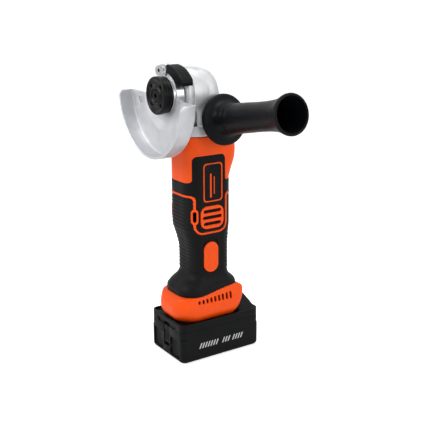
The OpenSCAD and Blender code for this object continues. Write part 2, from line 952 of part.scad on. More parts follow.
module crown_gear() {
    tip1 = on_cone(crown_r, pinion_r, 1, addendum);
    tip0 = on_cone(crown_r, pinion_r, face_k, addendum * face_k);
    root1 = on_cone(crown_r, pinion_r, 1, -dedendum);
    root0 = on_cone(crown_r, pinion_r, face_k, -dedendum * face_k);
    root_a = atan2(root0[1] - root1[1], root1[0] - root0[0]);
    bore = front_bore / 2;
    color(steel) translate([0, body_y, spindle_z]) rotate([-90, 0, 0]) difference() {
        rotate_extrude() {
            polygon([[bore, crown_hub], [10, crown_hub], [11, -7.3], [root0[0] - 0.3, -6.6],
                [tip0[0], -tip0[1]], [tip1[0], -tip1[1]], [23.2, -9.4], [22, -11.3],
                [11, crown_back], [bore, crown_back]]);
        }
        for (k = [0:crown_teeth - 1]) {
            rotate([0, 0, 90 + k * 360 / crown_teeth]) {
                translate([root0[0], 0, -root0[1]]) rotate([0, -root_a, 0]) rotate([90, 0, 90]) {
                    translate([0, 0, -4]) linear_extrude(16) {
                        polygon([[-0.85, 0], [0.85, 0], [1.5, tooth_h], [-1.5, tooth_h]]);
                    }
                }
            }
        }
        for (a = [0:90:270]) {
            rotate([0, 0, a - lock_a]) translate([lock_r, 0, -11.5]) cylinder(h = 10, r = 2.7);
        }
    }
}

module backing_flange() {
    color(black) difference() {
        rod_y(flange_r, flange_y0, flange_y1, 0, spindle_z);
        rod_y(nose_d / 2, flange_y0 - 1, flange_y1 + 1, 0, spindle_z);
        ring_y(flange_r + 1, flange_r - 0.8, flange_y0 + 2.6, flange_y0 + 3.4, 0, spindle_z);
    }
}

module lock_nut() {
    color(black) difference() {
        union() {
            rod_y(nut_r, nut_y0 + 1.2, nut_y1, 0, spindle_z);
            rod_y(nut_r - 1.4, nut_y0, nut_y0 + 1.3, 0, spindle_z);
        }
        rod_y(nose_d / 2, nut_y0 - 1, nut_y1 + 1, 0, spindle_z);
        ring_y(nut_r + 1, nut_r - 0.8, nut_y1 - 2.4, nut_y1 - 1.6, 0, spindle_z);
        for (a = [45:90:315]) {
            rod_y(nut_hole_d / 2, nut_y0 - 1, nut_y1 + 1,
                nut_pcd / 2 * cos(a), spindle_z + nut_pcd / 2 * sin(a));
        }
    }
}

// ---------- Rotor ----------

module motor_shaft() {
    color(steel) translate([0, body_y, 0]) {
        translate([0, 0, low_bearing_z - 1]) {
            cylinder(h = motor_bearing_w + 1.5, r = low_bore / 2 - run_gap);
        }
        translate([0, 0, low_bearing_z + motor_bearing_w + 0.4]) {
            cylinder(h = joint_z + motor_bearing_w + 1 - low_bearing_z - motor_bearing_w, r = shaft_r);
        }
        translate([0, 0, joint_z + motor_bearing_w]) cylinder(h = 27, r = 2.8);
    }
}

module rotor() {
    color(steel) ring_z(rotor_r, shaft_r, stator_z, stator_z + stator_l);
}

module fan() {
    color(black) difference() {
        union() {
            ring_z(6.5, shaft_r, fan_z, fan_z + 12);
            ring_z(fan_r, shaft_r, fan_z, fan_z + 1.6);
            for (k = [0:12]) {
                translate([0, body_y, fan_z + 1]) rotate([0, 0, k * 360 / 13]) {
                    translate([7, -0.6, 0]) rotate([0, 0, 12]) cube([fan_r - 8, 1.2, 9]);
                }
            }
        }
        translate([0, body_y, fan_z - 1]) cylinder(h = 20, r = shaft_r);
    }
}

module pinion() {
    tip1 = on_cone(pinion_r, crown_r, 1, addendum);
    tip0 = on_cone(pinion_r, crown_r, face_k, addendum * face_k);
    root1 = on_cone(pinion_r, crown_r, 1, -dedendum);
    root0 = on_cone(pinion_r, crown_r, face_k, -dedendum * face_k);
    root_a = atan2(root1[1] - root0[1], root1[0] - root0[0]);
    color(steel) translate([0, body_y, spindle_z]) difference() {
        rotate_extrude() {
            polygon([[2.8, -tip1[1] - 5.5], [5.4, -tip1[1] - 5.5], [6.2, -tip1[1] - 2.2],
                [tip1[0], -tip1[1]], [tip0[0], -tip0[1]], [2.8, -tip0[1] + 0.4]]);
        }
        for (k = [0:pinion_teeth - 1]) {
            rotate([0, 0, (k + 0.5) * 360 / pinion_teeth - 90]) {
                translate([root0[0], 0, -root0[1]]) rotate([0, root_a, 0]) rotate([90, 0, 90]) {
                    translate([0, 0, -4]) linear_extrude(18) {
                        polygon([[-0.8, 0], [0.8, 0], [1.6, tooth_h], [-1.6, tooth_h]]);
                    }
                }
            }
        }
    }
}

// ---------- Guard and its clamp ----------

module guard() {
    hole_r = collar_r1 + 0.1;
    color(zinc) difference() {
        union() {
            ring_y(guard_r, dish_r, guard_y, guard_y + guard_t, 0, spindle_z);
            ring_y(dish_r + guard_t, dish_r, guard_y, dish_y + guard_t, 0, spindle_z);
            rod_y(dish_r + 0.5, dish_y, dish_y + guard_t, 0, spindle_z);
            ring_y(guard_r, guard_r - guard_t, guard_y - guard_depth + guard_t, guard_y + 0.1,
                0, spindle_z);
        }
        rod_y(hole_r, guard_y - 1, dish_y + guard_t + 1, 0, spindle_z);
        translate([0, guard_y - guard_depth, guard_z]) rotate([0, guard_lean, 0]) {
            translate([-100, 0, 0]) cube([200, guard_depth + 10, 100]);
        }
    }
}

module guard_collar() {
    color(zinc) ring_y(collar_r1, collar_r0, dish_y, collar_y1, 0, spindle_z);
}

module clamp_band() {
    color(zinc) difference() {
        union() {
            ring_y(band_r1, band_r0, band_y0, band_y0 + band_w, 0, spindle_z);
            translate([2.2, band_y0 + lug_inset, spindle_z + 23.5]) {
                cube([2, band_w - 2 * lug_inset, 7.1]);
            }
        }
        translate([-2, band_y0 - 1, spindle_z + 10]) cube([4, band_w + 2, 20]);
        rod_x(1.7, 1, 5, band_y0 + band_w / 2, band_r1 + spindle_z + 2.6);
    }
}

module clamp_bracket() {
    color(zinc) difference() {
        for (y = [ear_y0, ear_y1 - ear_t]) along_y(y, y + ear_t, spindle_z) {
            polygon([[-15.6, 18], [-26, 22.5], [-27, 29], [-24, 31.5], [-8, 35.5], [-2.1, 35.5],
                [-2.1, 18]]);
        }
        rod_y(band_r1, lever_y0 - 1, lever_y1 + 1, 0, spindle_z);
        rod_y(lever_pin_d / 2, lever_y0 - 1, lever_y1 + 1, pin_x, pin_z);
        rod_y(2.2, lever_y0 - 1, lever_y1 + 1, -19, spindle_z + 27);
    }
    color(zinc) difference() {
        rod_y(band_r1 + 1.2, ear_y0, ear_y1, 0, spindle_z);
        rod_y(band_r1, ear_y0 - 1, ear_y1 + 1, 0, spindle_z);
        translate([-2.1, ear_y0 - 1, spindle_z - 40]) cube([60, 20, 80]);
        translate([-60, ear_y0 - 1, spindle_z - 60]) cube([120, 20, 78]);
    }
}

module lever_pin() {
    color(steel) {
        rod_y(lever_pin_d / 2, ear_y0 - 1.4, ear_y1 + 1.4, pin_x, pin_z);
        rod_y(lever_pin_d / 2 + 1.2, ear_y0 - 1.4, ear_y0, pin_x, pin_z);
        rod_y(lever_pin_d / 2 + 1.2, ear_y1, ear_y1 + 1.4, pin_x, pin_z);
    }
}

module clamp_screw() {
    color(steel) {
        rod_x(1.6, pin_x + 6.9, 9, band_y0 + band_w / 2, band_r1 + spindle_z + 2.6);
        rod_x(3, 4.2, 6.8, band_y0 + band_w / 2, band_r1 + spindle_z + 2.6);
    }
}

module clamp_lever() {
    web_r = lever_top - 3;
    color(black) difference() {
        union() {
            rod_y(eye_r, eye_y0, eye_y1, pin_x, pin_z);
            difference() {
                intersection() {
                    rod_y(lever_arc, lever_y0, lever_y1, 2, spindle_z + lever_top - lever_arc);
                    translate([1.5, lever_y0 - 1, lever_end_z]) cube([lever_end_x - 1.5, 20, 60]);
                }
                rod_y(band_r1 + 0.9, lever_y0 - 1, lever_y1 + 1, 0, spindle_z);
                rod_y(web_r, lever_y0 + cheek_t, lever_y1 + 1, 0, spindle_z);
            }
            translate([pin_x, eye_y0 + 0.3, pin_z + 2.2]) {
                cube([12, eye_y1 - eye_y0 - 0.6, lever_top - 31.9]);
            }
        }
        rod_y(lever_pin_d / 2 + run_gap, lever_y0 - 1, lever_y1 + 1, pin_x, pin_z);
    }
}

// ---------- Side handle ----------

module handle_grip() {
    flange_z = 11.4;
    color(black) on_handle_axis() rotate_extrude() {
        polygon([[thread_r, 4.5], [9.5, 4.5], [12, flange_z - 2.5], [stop_r - 1.5, flange_z],
            [stop_r, flange_z + 2.4], [stop_r - 1.2, stop_x], [stop_r - 6.7, stop_x + 1.4],
            [waist_r + 3, stop_x + 5], [waist_r + 1.6, stop_x + 13],
            [waist_r + 1, 0.42 * handle_l], [waist_r, 0.64 * handle_l],
            [waist_r + 0.6, 0.8 * handle_l], [waist_r + 2, handle_l - 16],
            [bell_r - 1.4, handle_l - 7.5], [bell_r, handle_l - 4], [bell_r, handle_l - 1.2],
            [bell_r - 1.2, handle_l], [bell_r - 3, handle_l], [bell_r - 4.2, handle_l - 6],
            [waist_r - 1.2, handle_l - 20], [waist_r - 2.6, 0.58 * handle_l],
            [thread_r, 0.58 * handle_l]]);
    }
}

module handle_stud() {
    color(steel) on_handle_axis() {
        translate([0, 0, 3 - thread_depth]) cylinder(h = 40, r = thread_r - run_gap);
        translate([0, 0, 1.9]) cylinder(h = 2.6, r = 7.5);
    }
}

// ---------- Battery foot ----------

module collar_form(d) {
    e = d > 0 ? 0.4 : 0;
    hull() {
        slab(foot_floor - e, collar_low_a - d, d - collar_low_f, collar_low_k - d, 12 - d, 9 - d);
        slab(collar_mid_z, collar_mid_a - d, d - collar_mid_f, collar_mid_k - d, 16 - d, 8 - d);
        slab(collar_top_z + e, collar_mid_a - 1 - d, d - collar_mid_f + 3, collar_top_k - d, 18 - d, 9 - d);
    }
}

module base_collar() {
    color(orange) difference() {
        union() {
            difference() {
                collar_form(0);
                collar_form(wall);
            }
            difference() {
                flare_form(0);
                flare_form(wall);
            }
            for (p = foot_spots) translate([p[0], p[1], foot_floor]) cylinder(h = 11, r = 3.6);
        }
        above_lip();
        // Slots on both flanks
        for (k = [0:9]) {
            along_x(-40, 40) pill(5.2 * k - 30.2, 70 + 0.1 * k, 1.6, 3.6 + 0.54 * k);
        }
        for (p = foot_spots) translate([p[0], p[1], foot_floor - 1]) cylinder(h = 10, r = 1.6);
    }
}

module battery_foot() {
    color(black) difference() {
        translate([0, 0, foot_z]) linear_extrude(foot_h) {
            outline(pack_w / 2, -pack_l / 2, pack_l / 2, pack_r, pack_r);
        }
        // Tray in the top
        translate([0, 0, foot_floor]) linear_extrude(foot_h) {
            outline(pack_w / 2 - 2.6, 2.6 - pack_l / 2, pack_l / 2 - 2.6, 4, 4);
        }
        // Channel of the rail, open at the front
        rail_space(rail_a + seat_gap, pack_h + groove_h - seat_gap, rail_top + seat_gap);
        rail_space(rail_a - groove_d + seat_gap, foot_z - 1, pack_h + groove_h);
        for (x = blade_x) translate([x - 0.6, 6.8, foot_floor - 5]) cube([1.2, 10.4, 10]);
        for (p = foot_spots) translate([p[0], p[1], foot_z - 1]) {
            cylinder(h = 20, r = 1.7);
            cylinder(h = 4.6, r = 3.3);
        }
    }
}

blade_x = [-12, -4, 4, 12];
foot_spots = [[-25.8, -25], [25.8, -25], [-25.8, 8], [25.8, 8]];

module rail_space(a, z0, z1) {
    translate([-a, -80, z0]) cube([2 * a, rail_k + 80 + pass_gap, z1 - z0]);
}

module foot_screws() {
    for (p = foot_spots) color(steel) translate([p[0], p[1], foot_z]) {
        translate([0, 0, 3.6]) cylinder(h = 11.4, r = 1.55);
        difference() {
            translate([0, 0, 1.4]) cylinder(h = 2.2, r = 3);
            translate([0, 0, 0.4]) cylinder(h = 2.2, r = 1.3, $fn = 6);
        }
    }
}

module terminal_holder() {
    color(black) difference() {
        translate([-18, -3, foot_floor]) cube([36, 23, 11]);
        for (x = blade_x) translate([x - 0.45, 6.95, foot_floor - 1]) cube([0.9, 10.1, 8.05]);
    }
}

module terminal_blades() {
    color(copper) for (x = blade_x) {
        translate([x - 0.4, 7, pack_h + groove_h + 0.8]) {
            cube([0.8, 10, foot_floor + 7 - pack_h - groove_h - 0.8]);
        }
    }
}

// ---------- Battery pack ----------

module pack_outline(d) {
    outline(pack_w / 2 - d, d - pack_l / 2, pack_l / 2 - d, pack_r - d, pack_r - d);
}

// The pocket for the latch in the pack's front wall.
module latch_pocket() {
    translate([-latch_w / 2 - 0.4, -pack_l / 2 - 1, latch_z - latch_travel - 0.4]) {
        cube([latch_w + 0.8, 4.5, latch_h + latch_travel + 0.8]);
    }
    translate([-7, -pack_l / 2 - 1, latch_z]) cube([14, 4.5, 40]);
}

module pocket_wall(z0, z1) {
    translate([-latch_w / 2 - 2.6, -pack_l / 2 + 1, z0]) cube([latch_w + 5.2, 5, z1 - z0]);
}

module pack_case() {
    color(black) difference() {
        union() {
            difference() {
                translate([0, 0, 0]) linear_extrude(lid_z) pack_outline(0);
                translate([0, 0, pack_wall]) linear_extrude(lid_z) pack_outline(pack_wall);
            }
            pocket_wall(1, lid_z);
        }
        latch_pocket();
    }
}

module pack_lid() {
    color(black) difference() {
        union() {
            difference() {
                translate([0, 0, lid_z]) linear_extrude(pack_h - lid_z) pack_outline(0);
                translate([0, 0, lid_z - 1]) {
                    linear_extrude(pack_h - lid_z + 1 - pack_wall) pack_outline(pack_wall);
                }
            }
            pocket_wall(lid_z, pack_h);
            translate([groove_d - rail_a, rail_f, pack_h - 0.5]) {
                cube([2 * (rail_a - groove_d), rail_k - rail_f, rail_h + 0.5]);
            }
            translate([-rail_a, rail_f, pack_h + groove_h]) {
                cube([2 * rail_a, rail_k - rail_f, rail_h - groove_h]);
            }
        }
        latch_pocket();
        for (x = blade_x) translate([x - 0.9, 6, pack_h + groove_h]) cube([1.8, 60, 10]);
    }
}

module cell_row(r, x0, x1) {
    for (k = [0:cell_count - 1]) {
        rod_x(r, x0, x1, (k - (cell_count - 1) / 2) * cell_pitch, cell_z);
    }
}

module cells() {
    color(blue) cell_row(cell_r, -cell_l / 2, cell_l / 2);
    color(steel) cell_row(3, -cell_l / 2 - 0.8, cell_l / 2 + 0.8);
}

module cell_frame() {
    color(black) difference() {
        for (s = [-1, 1]) {
            translate([20 * s - 2, -cell_pitch * cell_count / 2 - 1, pack_wall]) {
                cube([4, cell_pitch * cell_count + 2, cell_z + cell_r + 1.6 - pack_wall]);
            }
        }
        cell_row(cell_r + run_gap, -40, 40);
    }
}

module pack_latch() {
    color(black) difference() {
        union() {
            translate([-latch_w / 2, 0.2 - pack_l / 2, latch_z]) cube([latch_w, 2.9, latch_h]);
            translate([-6.5, 0.2 - pack_l / 2, latch_z + 1]) cube([13, 2.9, pack_h - latch_z - 1.3]);
        }
        for (k = [0:3]) {
            translate([-11, -pack_l / 2 - 1, latch_z + 3.4 + 3.2 * k]) cube([22, 2, 1.2]);
        }
    }
}

module latch_spring() {
    color(steel) for (x = [-8, 8]) {
        translate([x, 1.7 - pack_l / 2, latch_z - latch_travel - 0.4]) difference() {
            cylinder(h = latch_travel + 0.4, r = 1.4);
            translate([0, 0, -1]) cylinder(h = latch_travel + 3, r = 0.8);
        }
    }
}

gear_case();
bearing_box();
bearing_box_screws();
gear_case_screws();
front_bearing();
rear_bearing();
housing_left();
housing_right();
side_panel_left();
side_panel_right();
grip_left();
grip_right();
label_plates();
vent_grilles();
corner_vents();
housing_screws();
motor_bearing_top();
motor_bearing_low();
stator();
windings();
fan_baffle();
controller();
controller_board();
phase_wires();
battery_leads();
microswitch();
switch_track();
terminal_holder();
terminal_blades();
base_collar();
battery_foot();
foot_screws();
lock_button();
lock_spring();
spindle();
crown_gear();
backing_flange();
lock_nut();
motor_shaft();
rotor();
fan();
pinion();
guard();
guard_collar();
clamp_band();
clamp_bracket();
lever_pin();
clamp_screw();
clamp_lever();
handle_grip();
handle_stud();
switch_cap();
switch_rod();
pack_case();
pack_lid();
cells();
cell_frame();
pack_latch();
latch_spring();
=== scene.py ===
# %% [markdown]
# # A cordless angle grinder, dressed over its construction model
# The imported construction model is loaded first. It never moves and it is never changed: it says
# where every piece is and how it moves. Each visible piece is then modelled again with softer
# edges and fine detail, and takes the place of its plain solid. Sizes below are in millimetres,
# because that is how the tool is drawn, and mm() turns them into metres.

# %% Load the frame
import math

import bmesh
import bpy
from mathutils import Matrix, Vector


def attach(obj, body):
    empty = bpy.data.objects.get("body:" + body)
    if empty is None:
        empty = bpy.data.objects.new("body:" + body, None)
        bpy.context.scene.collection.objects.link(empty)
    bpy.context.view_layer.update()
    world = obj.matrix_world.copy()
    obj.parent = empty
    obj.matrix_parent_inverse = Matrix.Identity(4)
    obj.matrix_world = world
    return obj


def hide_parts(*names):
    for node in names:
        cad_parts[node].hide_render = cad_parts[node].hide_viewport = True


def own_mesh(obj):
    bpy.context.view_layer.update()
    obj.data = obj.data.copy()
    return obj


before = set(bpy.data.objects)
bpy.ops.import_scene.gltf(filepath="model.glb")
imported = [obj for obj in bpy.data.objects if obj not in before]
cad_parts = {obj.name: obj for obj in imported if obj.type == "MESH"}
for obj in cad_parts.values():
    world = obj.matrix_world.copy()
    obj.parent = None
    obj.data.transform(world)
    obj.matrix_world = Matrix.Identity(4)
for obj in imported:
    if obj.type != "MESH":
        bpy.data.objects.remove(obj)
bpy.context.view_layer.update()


def mm(*values):
    """Millimetres to metres: one number, or a vector of three."""
    if len(values) == 1:
        return values[0] / 1000
    return Vector(values) / 1000


# %% [markdown]
# ## Camera
# The tool is seen from its right front, a little from above, as in a catalogue. The camera stands
# about 1.1 m away. Its direction is given by an azimuth and a pitch, which is easier to reason
# about than three Euler angles, and a third of a degree of roll levels the battery's edges.

# %% Camera
spot = mm(844.9, -540.0, 464.1)
turn, pitch, roll = math.radians(56.63), math.radians(15.97), math.radians(-0.35)
camera_data = bpy.data.cameras.new("catalogue_camera")
camera_data.lens = 69.07
camera_data.sensor_width = 36
camera = bpy.data.objects.new("catalogue_camera", camera_data)
bpy.context.collection.objects.link(camera)
aim = (Matrix.Rotation(turn, 3, "Z") @ Matrix.Rotation(math.pi / 2 - pitch, 3, "X")
       @ Matrix.Rotation(roll, 3, "Z"))
camera.location = spot
camera.rotation_euler = aim.to_euler()
bpy.context.scene.camera = camera
print("camera at", [round(v, 3) for v in spot])

# %% [markdown]
# ## Node helpers
# The world, the floor and all finishes are built from nodes. Four small helpers keep that short:
# they set inputs by name, start a material, combine two values and start a group.

# %% Node helpers


def set_inputs(node, values):
    """Sets a node's inputs by name."""
    for key, value in values.items():
        node.inputs[key].default_value = value


def new_material(name, values):
    """A material whose shader has the given inputs, with its tree and that shader."""
    material = bpy.data.materials.new(name)
    material.use_nodes = True
    tree = material.node_tree
    shader = tree.nodes["Principled BSDF"]
    set_inputs(shader, values)
    return material, tree, shader


def combined(tree, operation, first, second):
    """A math node on a socket and on a second socket or a number; returns its output."""
    node = tree.nodes.new("ShaderNodeMath")
    node.operation = operation
    tree.links.new(first, node.inputs[0])
    if isinstance(second, float):
        node.inputs[1].default_value = second
    else:
        tree.links.new(second, node.inputs[1])
    return node.outputs[0]


def start_group(name, inputs, value_out):
    """A group that reads object coordinates and puts out a bumped normal and one value."""
    group = bpy.data.node_groups.new(name, "ShaderNodeTree")
    face, nodes, links = group.interface, group.nodes, group.links
    for key, value in inputs.items():
        kind = "NodeSocketVector" if isinstance(value, tuple) else "NodeSocketFloat"
        face.new_socket(key, in_out="INPUT", socket_type=kind).default_value = value
    face.new_socket("Normal", in_out="OUTPUT", socket_type="NodeSocketVector")
    face.new_socket(value_out, in_out="OUTPUT", socket_type="NodeSocketFloat")
    inside, outside = nodes.new("NodeGroupInput"), nodes.new("NodeGroupOutput")
    where = nodes.new("ShaderNodeTexCoord").outputs["Object"]
    bump = nodes.new("ShaderNodeBump")
    bump.inputs["Distance"].default_value = mm(0.1)
    links.new(inside.outputs["Depth"], bump.inputs["Strength"])
    links.new(bump.outputs["Normal"], outside.inputs["Normal"])
    return group, inside, outside, where, bump


# %% [markdown]
# ## Light and floor
# Three large, soft lamps light the tool evenly: a key from the left front, a weaker one from the
# right, and a strip above that puts a line of light on rounded tops. The world is white wherever a
# camera or a mirror-like surface looks at it, but gives only a moderate light, so black plastic
# stays black.

# %% World and lamps
scene = bpy.context.scene
scene.view_settings.view_transform = "Standard"
lamp_target = Vector((0, 0, 0.2))
for name, place, size, power in (
        ("key_lamp", (-0.35, -1.5, 1.15), 1.0, 17),
        ("side_lamp", (1.5, 0.35, 0.75), 0.9, 9),
        ("top_lamp", (0.1, 0.1, 1.7), 0.8, 10)):
    data = bpy.data.lights.new(name, "AREA")
    data.size, data.energy = size, power
    lamp = bpy.data.objects.new(name, data)
    bpy.context.collection.objects.link(lamp)
    lamp.location = place
    lamp.rotation_euler = (lamp_target - Vector(place)).to_track_quat("-Z", "Y").to_euler()

world = bpy.data.worlds.new("white_studio")
scene.world = world
world.use_nodes = True
tree = world.node_tree
sky = tree.nodes["Background"]
sky.inputs["Color"].default_value = (1, 1, 1, 1)
ray = tree.nodes.new("ShaderNodeLightPath").outputs
seen = combined(tree, "MAXIMUM", ray["Is Camera Ray"], ray["Is Glossy Ray"])
seen_through = combined(tree, "MAXIMUM", seen, ray["Is Transmission Ray"])
level = tree.nodes.new("ShaderNodeMapRange")
set_inputs(level, {"To Min": 0.42, "To Max": 1.0})
tree.links.new(seen_through, level.inputs["Value"])
tree.links.new(level.outputs["Result"], sky.inputs["Strength"])

# %% Floor
floor_size, floor_level, floor_glow = 40, -0.0002, 0.62
bpy.ops.mesh.primitive_plane_add(size=floor_size, location=(0, 0, floor_level))
floor = bpy.context.object
floor.name = "floor"
bpy.ops.object.transform_apply(location=True, rotation=False, scale=True)
paper, tree, shader = new_material("white_paper", {
    "Base Color": (0.93, 0.93, 0.93, 1), "Roughness": 0.9, "Specular IOR Level": 0.1,
    "Emission Color": (1, 1, 1, 1)})
camera_ray = tree.nodes.new("ShaderNodeLightPath").outputs["Is Camera Ray"]
tree.links.new(combined(tree, "MULTIPLY", camera_ray, floor_glow),
               shader.inputs["Emission Strength"])
floor.data.materials.append(paper)
print("floor and lamps are in place")

# %% [markdown]
# ## Materials
# Moulded plastic, rubber and cast metal are never perfectly smooth. One node group gives them all
# their fine grain: a small noise on the object's own coordinates becomes a bump, and a much larger
# noise gives slow changes of tone. Each material sets the size and the depth of the grain.

# %% Grain group
fine_grain, inside, outside, where, bump = start_group(
    "fine_grain", {"Grain per metre": 2500.0, "Depth": 0.2, "Patches per metre": 30.0}, "Tone")
for key, detail, target in (
    ("Grain per metre", 2, bump.inputs["Height"]), ("Patches per metre", 3, outside.inputs["Tone"])
):
    noise = fine_grain.nodes.new("ShaderNodeTexNoise")
    noise.inputs["Detail"].default_value = detail
    fine_grain.links.new(where, noise.inputs["Vector"])
    fine_grain.links.new(inside.outputs[key], noise.inputs["Scale"])
    fine_grain.links.new(noise.outputs["Fac"], target)

# %% [markdown]
# Turned and brushed metal has long, thin lines instead of round grain. A second group stretches a
# noise along one direction. It puts out the lines as a value, for roughness, and as a faint bump.

# %% Streak group
brush_lines, inside, outside, where, bump = start_group(
    "brush_lines", {"Stretch": (1, 1, 60), "Depth": 0.1}, "Lines")
stretched = brush_lines.nodes.new("ShaderNodeVectorMath")
stretched.operation = "MULTIPLY"
noise = brush_lines.nodes.new("ShaderNodeTexNoise")
set_inputs(noise, {"Scale": 40, "Detail": 4})
for source, target in (
    (where, stretched.inputs[0]), (inside.outputs["Stretch"], stretched.inputs[1]),
    (stretched.outputs["Vector"], noise.inputs["Vector"]),
    (noise.outputs["Fac"], bump.inputs["Height"]), (noise.outputs["Fac"], outside.inputs["Lines"])
):
    brush_lines.links.new(source, target)

# %% [markdown]
# A finish mixes a dark and a light tone by its group's value. The same value sets the roughness,
# so worn patches and brush lines show in the reflections too.

# %% Finish helpers


def finish(name, dark, light, rough, group, settings, shader_inputs, span=(0, 1)):
    """Colour and roughness drift with a group's last output; its bump tilts the normal."""
    material, tree, shader = new_material(name, shader_inputs)
    texture = tree.nodes.new("ShaderNodeGroup")
    texture.node_tree = group
    set_inputs(texture, settings)
    colour = tree.nodes.new("ShaderNodeMix")
    colour.data_type = "RGBA"
    set_inputs(colour, {"A": (*dark, 1), "B": (*light, 1)})
    sheen = tree.nodes.new("ShaderNodeMapRange")
    set_inputs(sheen, {
        "From Min": span[0], "From Max": span[1], "To Min": rough[0], "To Max": rough[1]})
    for source, target in (
        (texture.outputs[1], colour.inputs["Factor"]), (texture.outputs[1], sheen.inputs["Value"]),
        (colour.outputs["Result"], shader.inputs["Base Color"]),
        (sheen.outputs["Result"], shader.inputs["Roughness"]),
        (texture.outputs["Normal"], shader.inputs["Normal"])
    ):
        tree.links.new(source, target)
    return material


def grained(name, dark, light, rough, metal=0.0, per_metre=2500, depth=0.2, patches=30, gloss=0.5):
    """A finish with fine grain and slow patches of tone."""
    grain = {"Grain per metre": per_metre, "Depth": depth, "Patches per metre": patches}
    return finish(name, dark, light, rough, fine_grain, grain,
                  {"Metallic": metal, "Specular IOR Level": gloss}, (0.3, 0.7))


def brushed(name, dark, light, rough, stretch, depth=0.1):
    """Bare or plated metal with brush lines."""
    return finish(name, dark, light, rough, brush_lines, {"Stretch": stretch, "Depth": depth},
                  {"Metallic": 1.0})


# %% The finishes of this tool
silver_casting = grained(
    "silver_casting", (0.48, 0.49, 0.50), (0.68, 0.69, 0.70), (0.42, 0.56), metal=0.55,
    per_metre=900, depth=1.0, patches=110)
guard_paint = grained(
    "guard_paint", (0.50, 0.51, 0.53), (0.66, 0.67, 0.695), (0.40, 0.52), metal=0.6,
    per_metre=1000, depth=0.6, patches=70)
orange_shell = grained(
    "orange_shell", (0.87, 0.072, 0.002), (0.96, 0.096, 0.004), (0.34, 0.44), per_metre=2200,
    depth=0.12, gloss=0.2)
black_shell = grained(
    "black_shell", (0.0025, 0.0028, 0.003), (0.005, 0.0053, 0.0058), (0.34, 0.46), per_metre=3000,
    depth=0.3, gloss=0.1)
soft_grip = grained(
    "soft_grip", (0.003, 0.0031, 0.0034), (0.006, 0.006, 0.0066), (0.40, 0.54), per_metre=3600,
    depth=0.45, gloss=0.1)
handle_plastic = grained(
    "handle_plastic", (0.0025, 0.0028, 0.0036), (0.005, 0.0055, 0.0066), (0.34, 0.46),
    per_metre=2600, depth=0.25, gloss=0.1)
pack_plastic = grained(
    "pack_plastic", (0.0028, 0.0031, 0.0034), (0.0055, 0.006, 0.0065), (0.38, 0.5), per_metre=2600,
    depth=0.4, gloss=0.1)
pale_paint = grained("pale_paint", (0.50, 0.51, 0.52), (0.60, 0.61, 0.62), (0.4, 0.55), depth=0.1)
black_oxide = grained(
    "black_oxide", (0.0015, 0.0016, 0.0018), (0.004, 0.004, 0.0045), (0.22, 0.32), per_metre=2200,
    depth=0.12, gloss=0.14)
zinc_plate = grained(
    "zinc_plate", (0.62, 0.64, 0.66), (0.78, 0.79, 0.80), (0.22, 0.36), metal=1.0, per_metre=1500,
    depth=0.15)
board_green = grained("board_green", (0.01, 0.09, 0.04), (0.02, 0.13, 0.06), (0.3, 0.45))
cell_sleeve = grained(
    "cell_sleeve", (0.02, 0.10, 0.30), (0.03, 0.14, 0.38), (0.25, 0.35), depth=0.05)
cable_red = grained("cable_red", (0.35, 0.01, 0.01), (0.45, 0.02, 0.015), (0.35, 0.5))
ground_steel = brushed(
    "ground_steel", (0.42, 0.43, 0.45), (0.6, 0.61, 0.62), (0.2, 0.34), (60, 1, 60))
copper_wire = brushed(
    "copper_wire", (0.62, 0.25, 0.12), (0.8, 0.38, 0.2), (0.25, 0.4), (1, 1, 30), 0.4)
print("finishes:", len(bpy.data.materials))

# %% [markdown]
# ## Dressing the construction solids
# Hidden pieces such as gears, bearings and cells are already the right shape, so they keep their
# solids and only get a finish. Pieces that are modelled again below hide their solids later.

# %% Give every solid its finish
dressing = {
    silver_casting: ["gear_case", "bearing_box"], guard_paint: ["guard", "guard_collar"],
    orange_shell: [
        "housing_left", "housing_right", "vent_grilles", "corner_vents", "switch_cap",
        "base_collar"],
    black_shell: [
        "side_panel_left", "side_panel_right", "label_plates", "fan_baffle", "controller",
        "microswitch", "switch_track", "switch_rod", "terminal_holder", "lock_button", "fan",
        "clamp_lever"],
    soft_grip: ["grip_left", "grip_right"], handle_plastic: ["handle_grip"],
    pack_plastic: ["battery_foot", "pack_case", "pack_lid", "cell_frame", "pack_latch"],
    black_oxide: ["backing_flange", "lock_nut", "spindle"],
    zinc_plate: [
        "bearing_box_screws", "gear_case_screws", "clamp_band", "clamp_bracket", "lever_pin",
        "clamp_screw", "handle_stud"],
    board_green: ["controller_board"], cell_sleeve: ["cells"], cable_red: ["battery_leads"],
    ground_steel: [
        "front_bearing", "rear_bearing", "housing_screws", "motor_bearing_top",
        "motor_bearing_low", "stator", "foot_screws", "lock_spring", "crown_gear", "motor_shaft",
        "rotor", "pinion", "latch_spring"],
    copper_wire: ["windings", "phase_wires", "terminal_blades"],}
for skin, names in dressing.items():
    for name in names:
        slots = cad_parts[name].data.materials
        for index in range(len(slots)):
            slots[index] = skin
print("dressed solids:", sum(len(names) for names in dressing.values()))

# %% [markdown]
# ## A small workbench
# Every piece below starts as a primitive at its place, is shaped in edit mode and finished with
# modifiers. A handful of helpers keeps each piece short: one makes sure that nothing else is
# selected, one picks faces by their place, one applies a modifier, and three draw the forms that
# this tool is made of, which are outlines pushed to a thickness, upright rounded forms, and
# turned parts.

# %% Selecting and applying


def relax():
    """Leaves edit mode with nothing selected."""
    if bpy.context.mode != "OBJECT":
        bpy.ops.object.mode_set(mode="OBJECT")
    bpy.ops.object.select_all(action="DESELECT")


def work_on(obj):
    """Makes obj the only selected object."""
    relax()
    obj.select_set(True)
    bpy.context.view_layer.objects.active = obj


def newly_added(name):
    """Names the object that was just added and puts its origin at the world's."""
    obj = bpy.context.object
    obj.name = name
    obj.data.name = name
    bpy.ops.object.transform_apply(location=True, rotation=True, scale=True)
    return obj


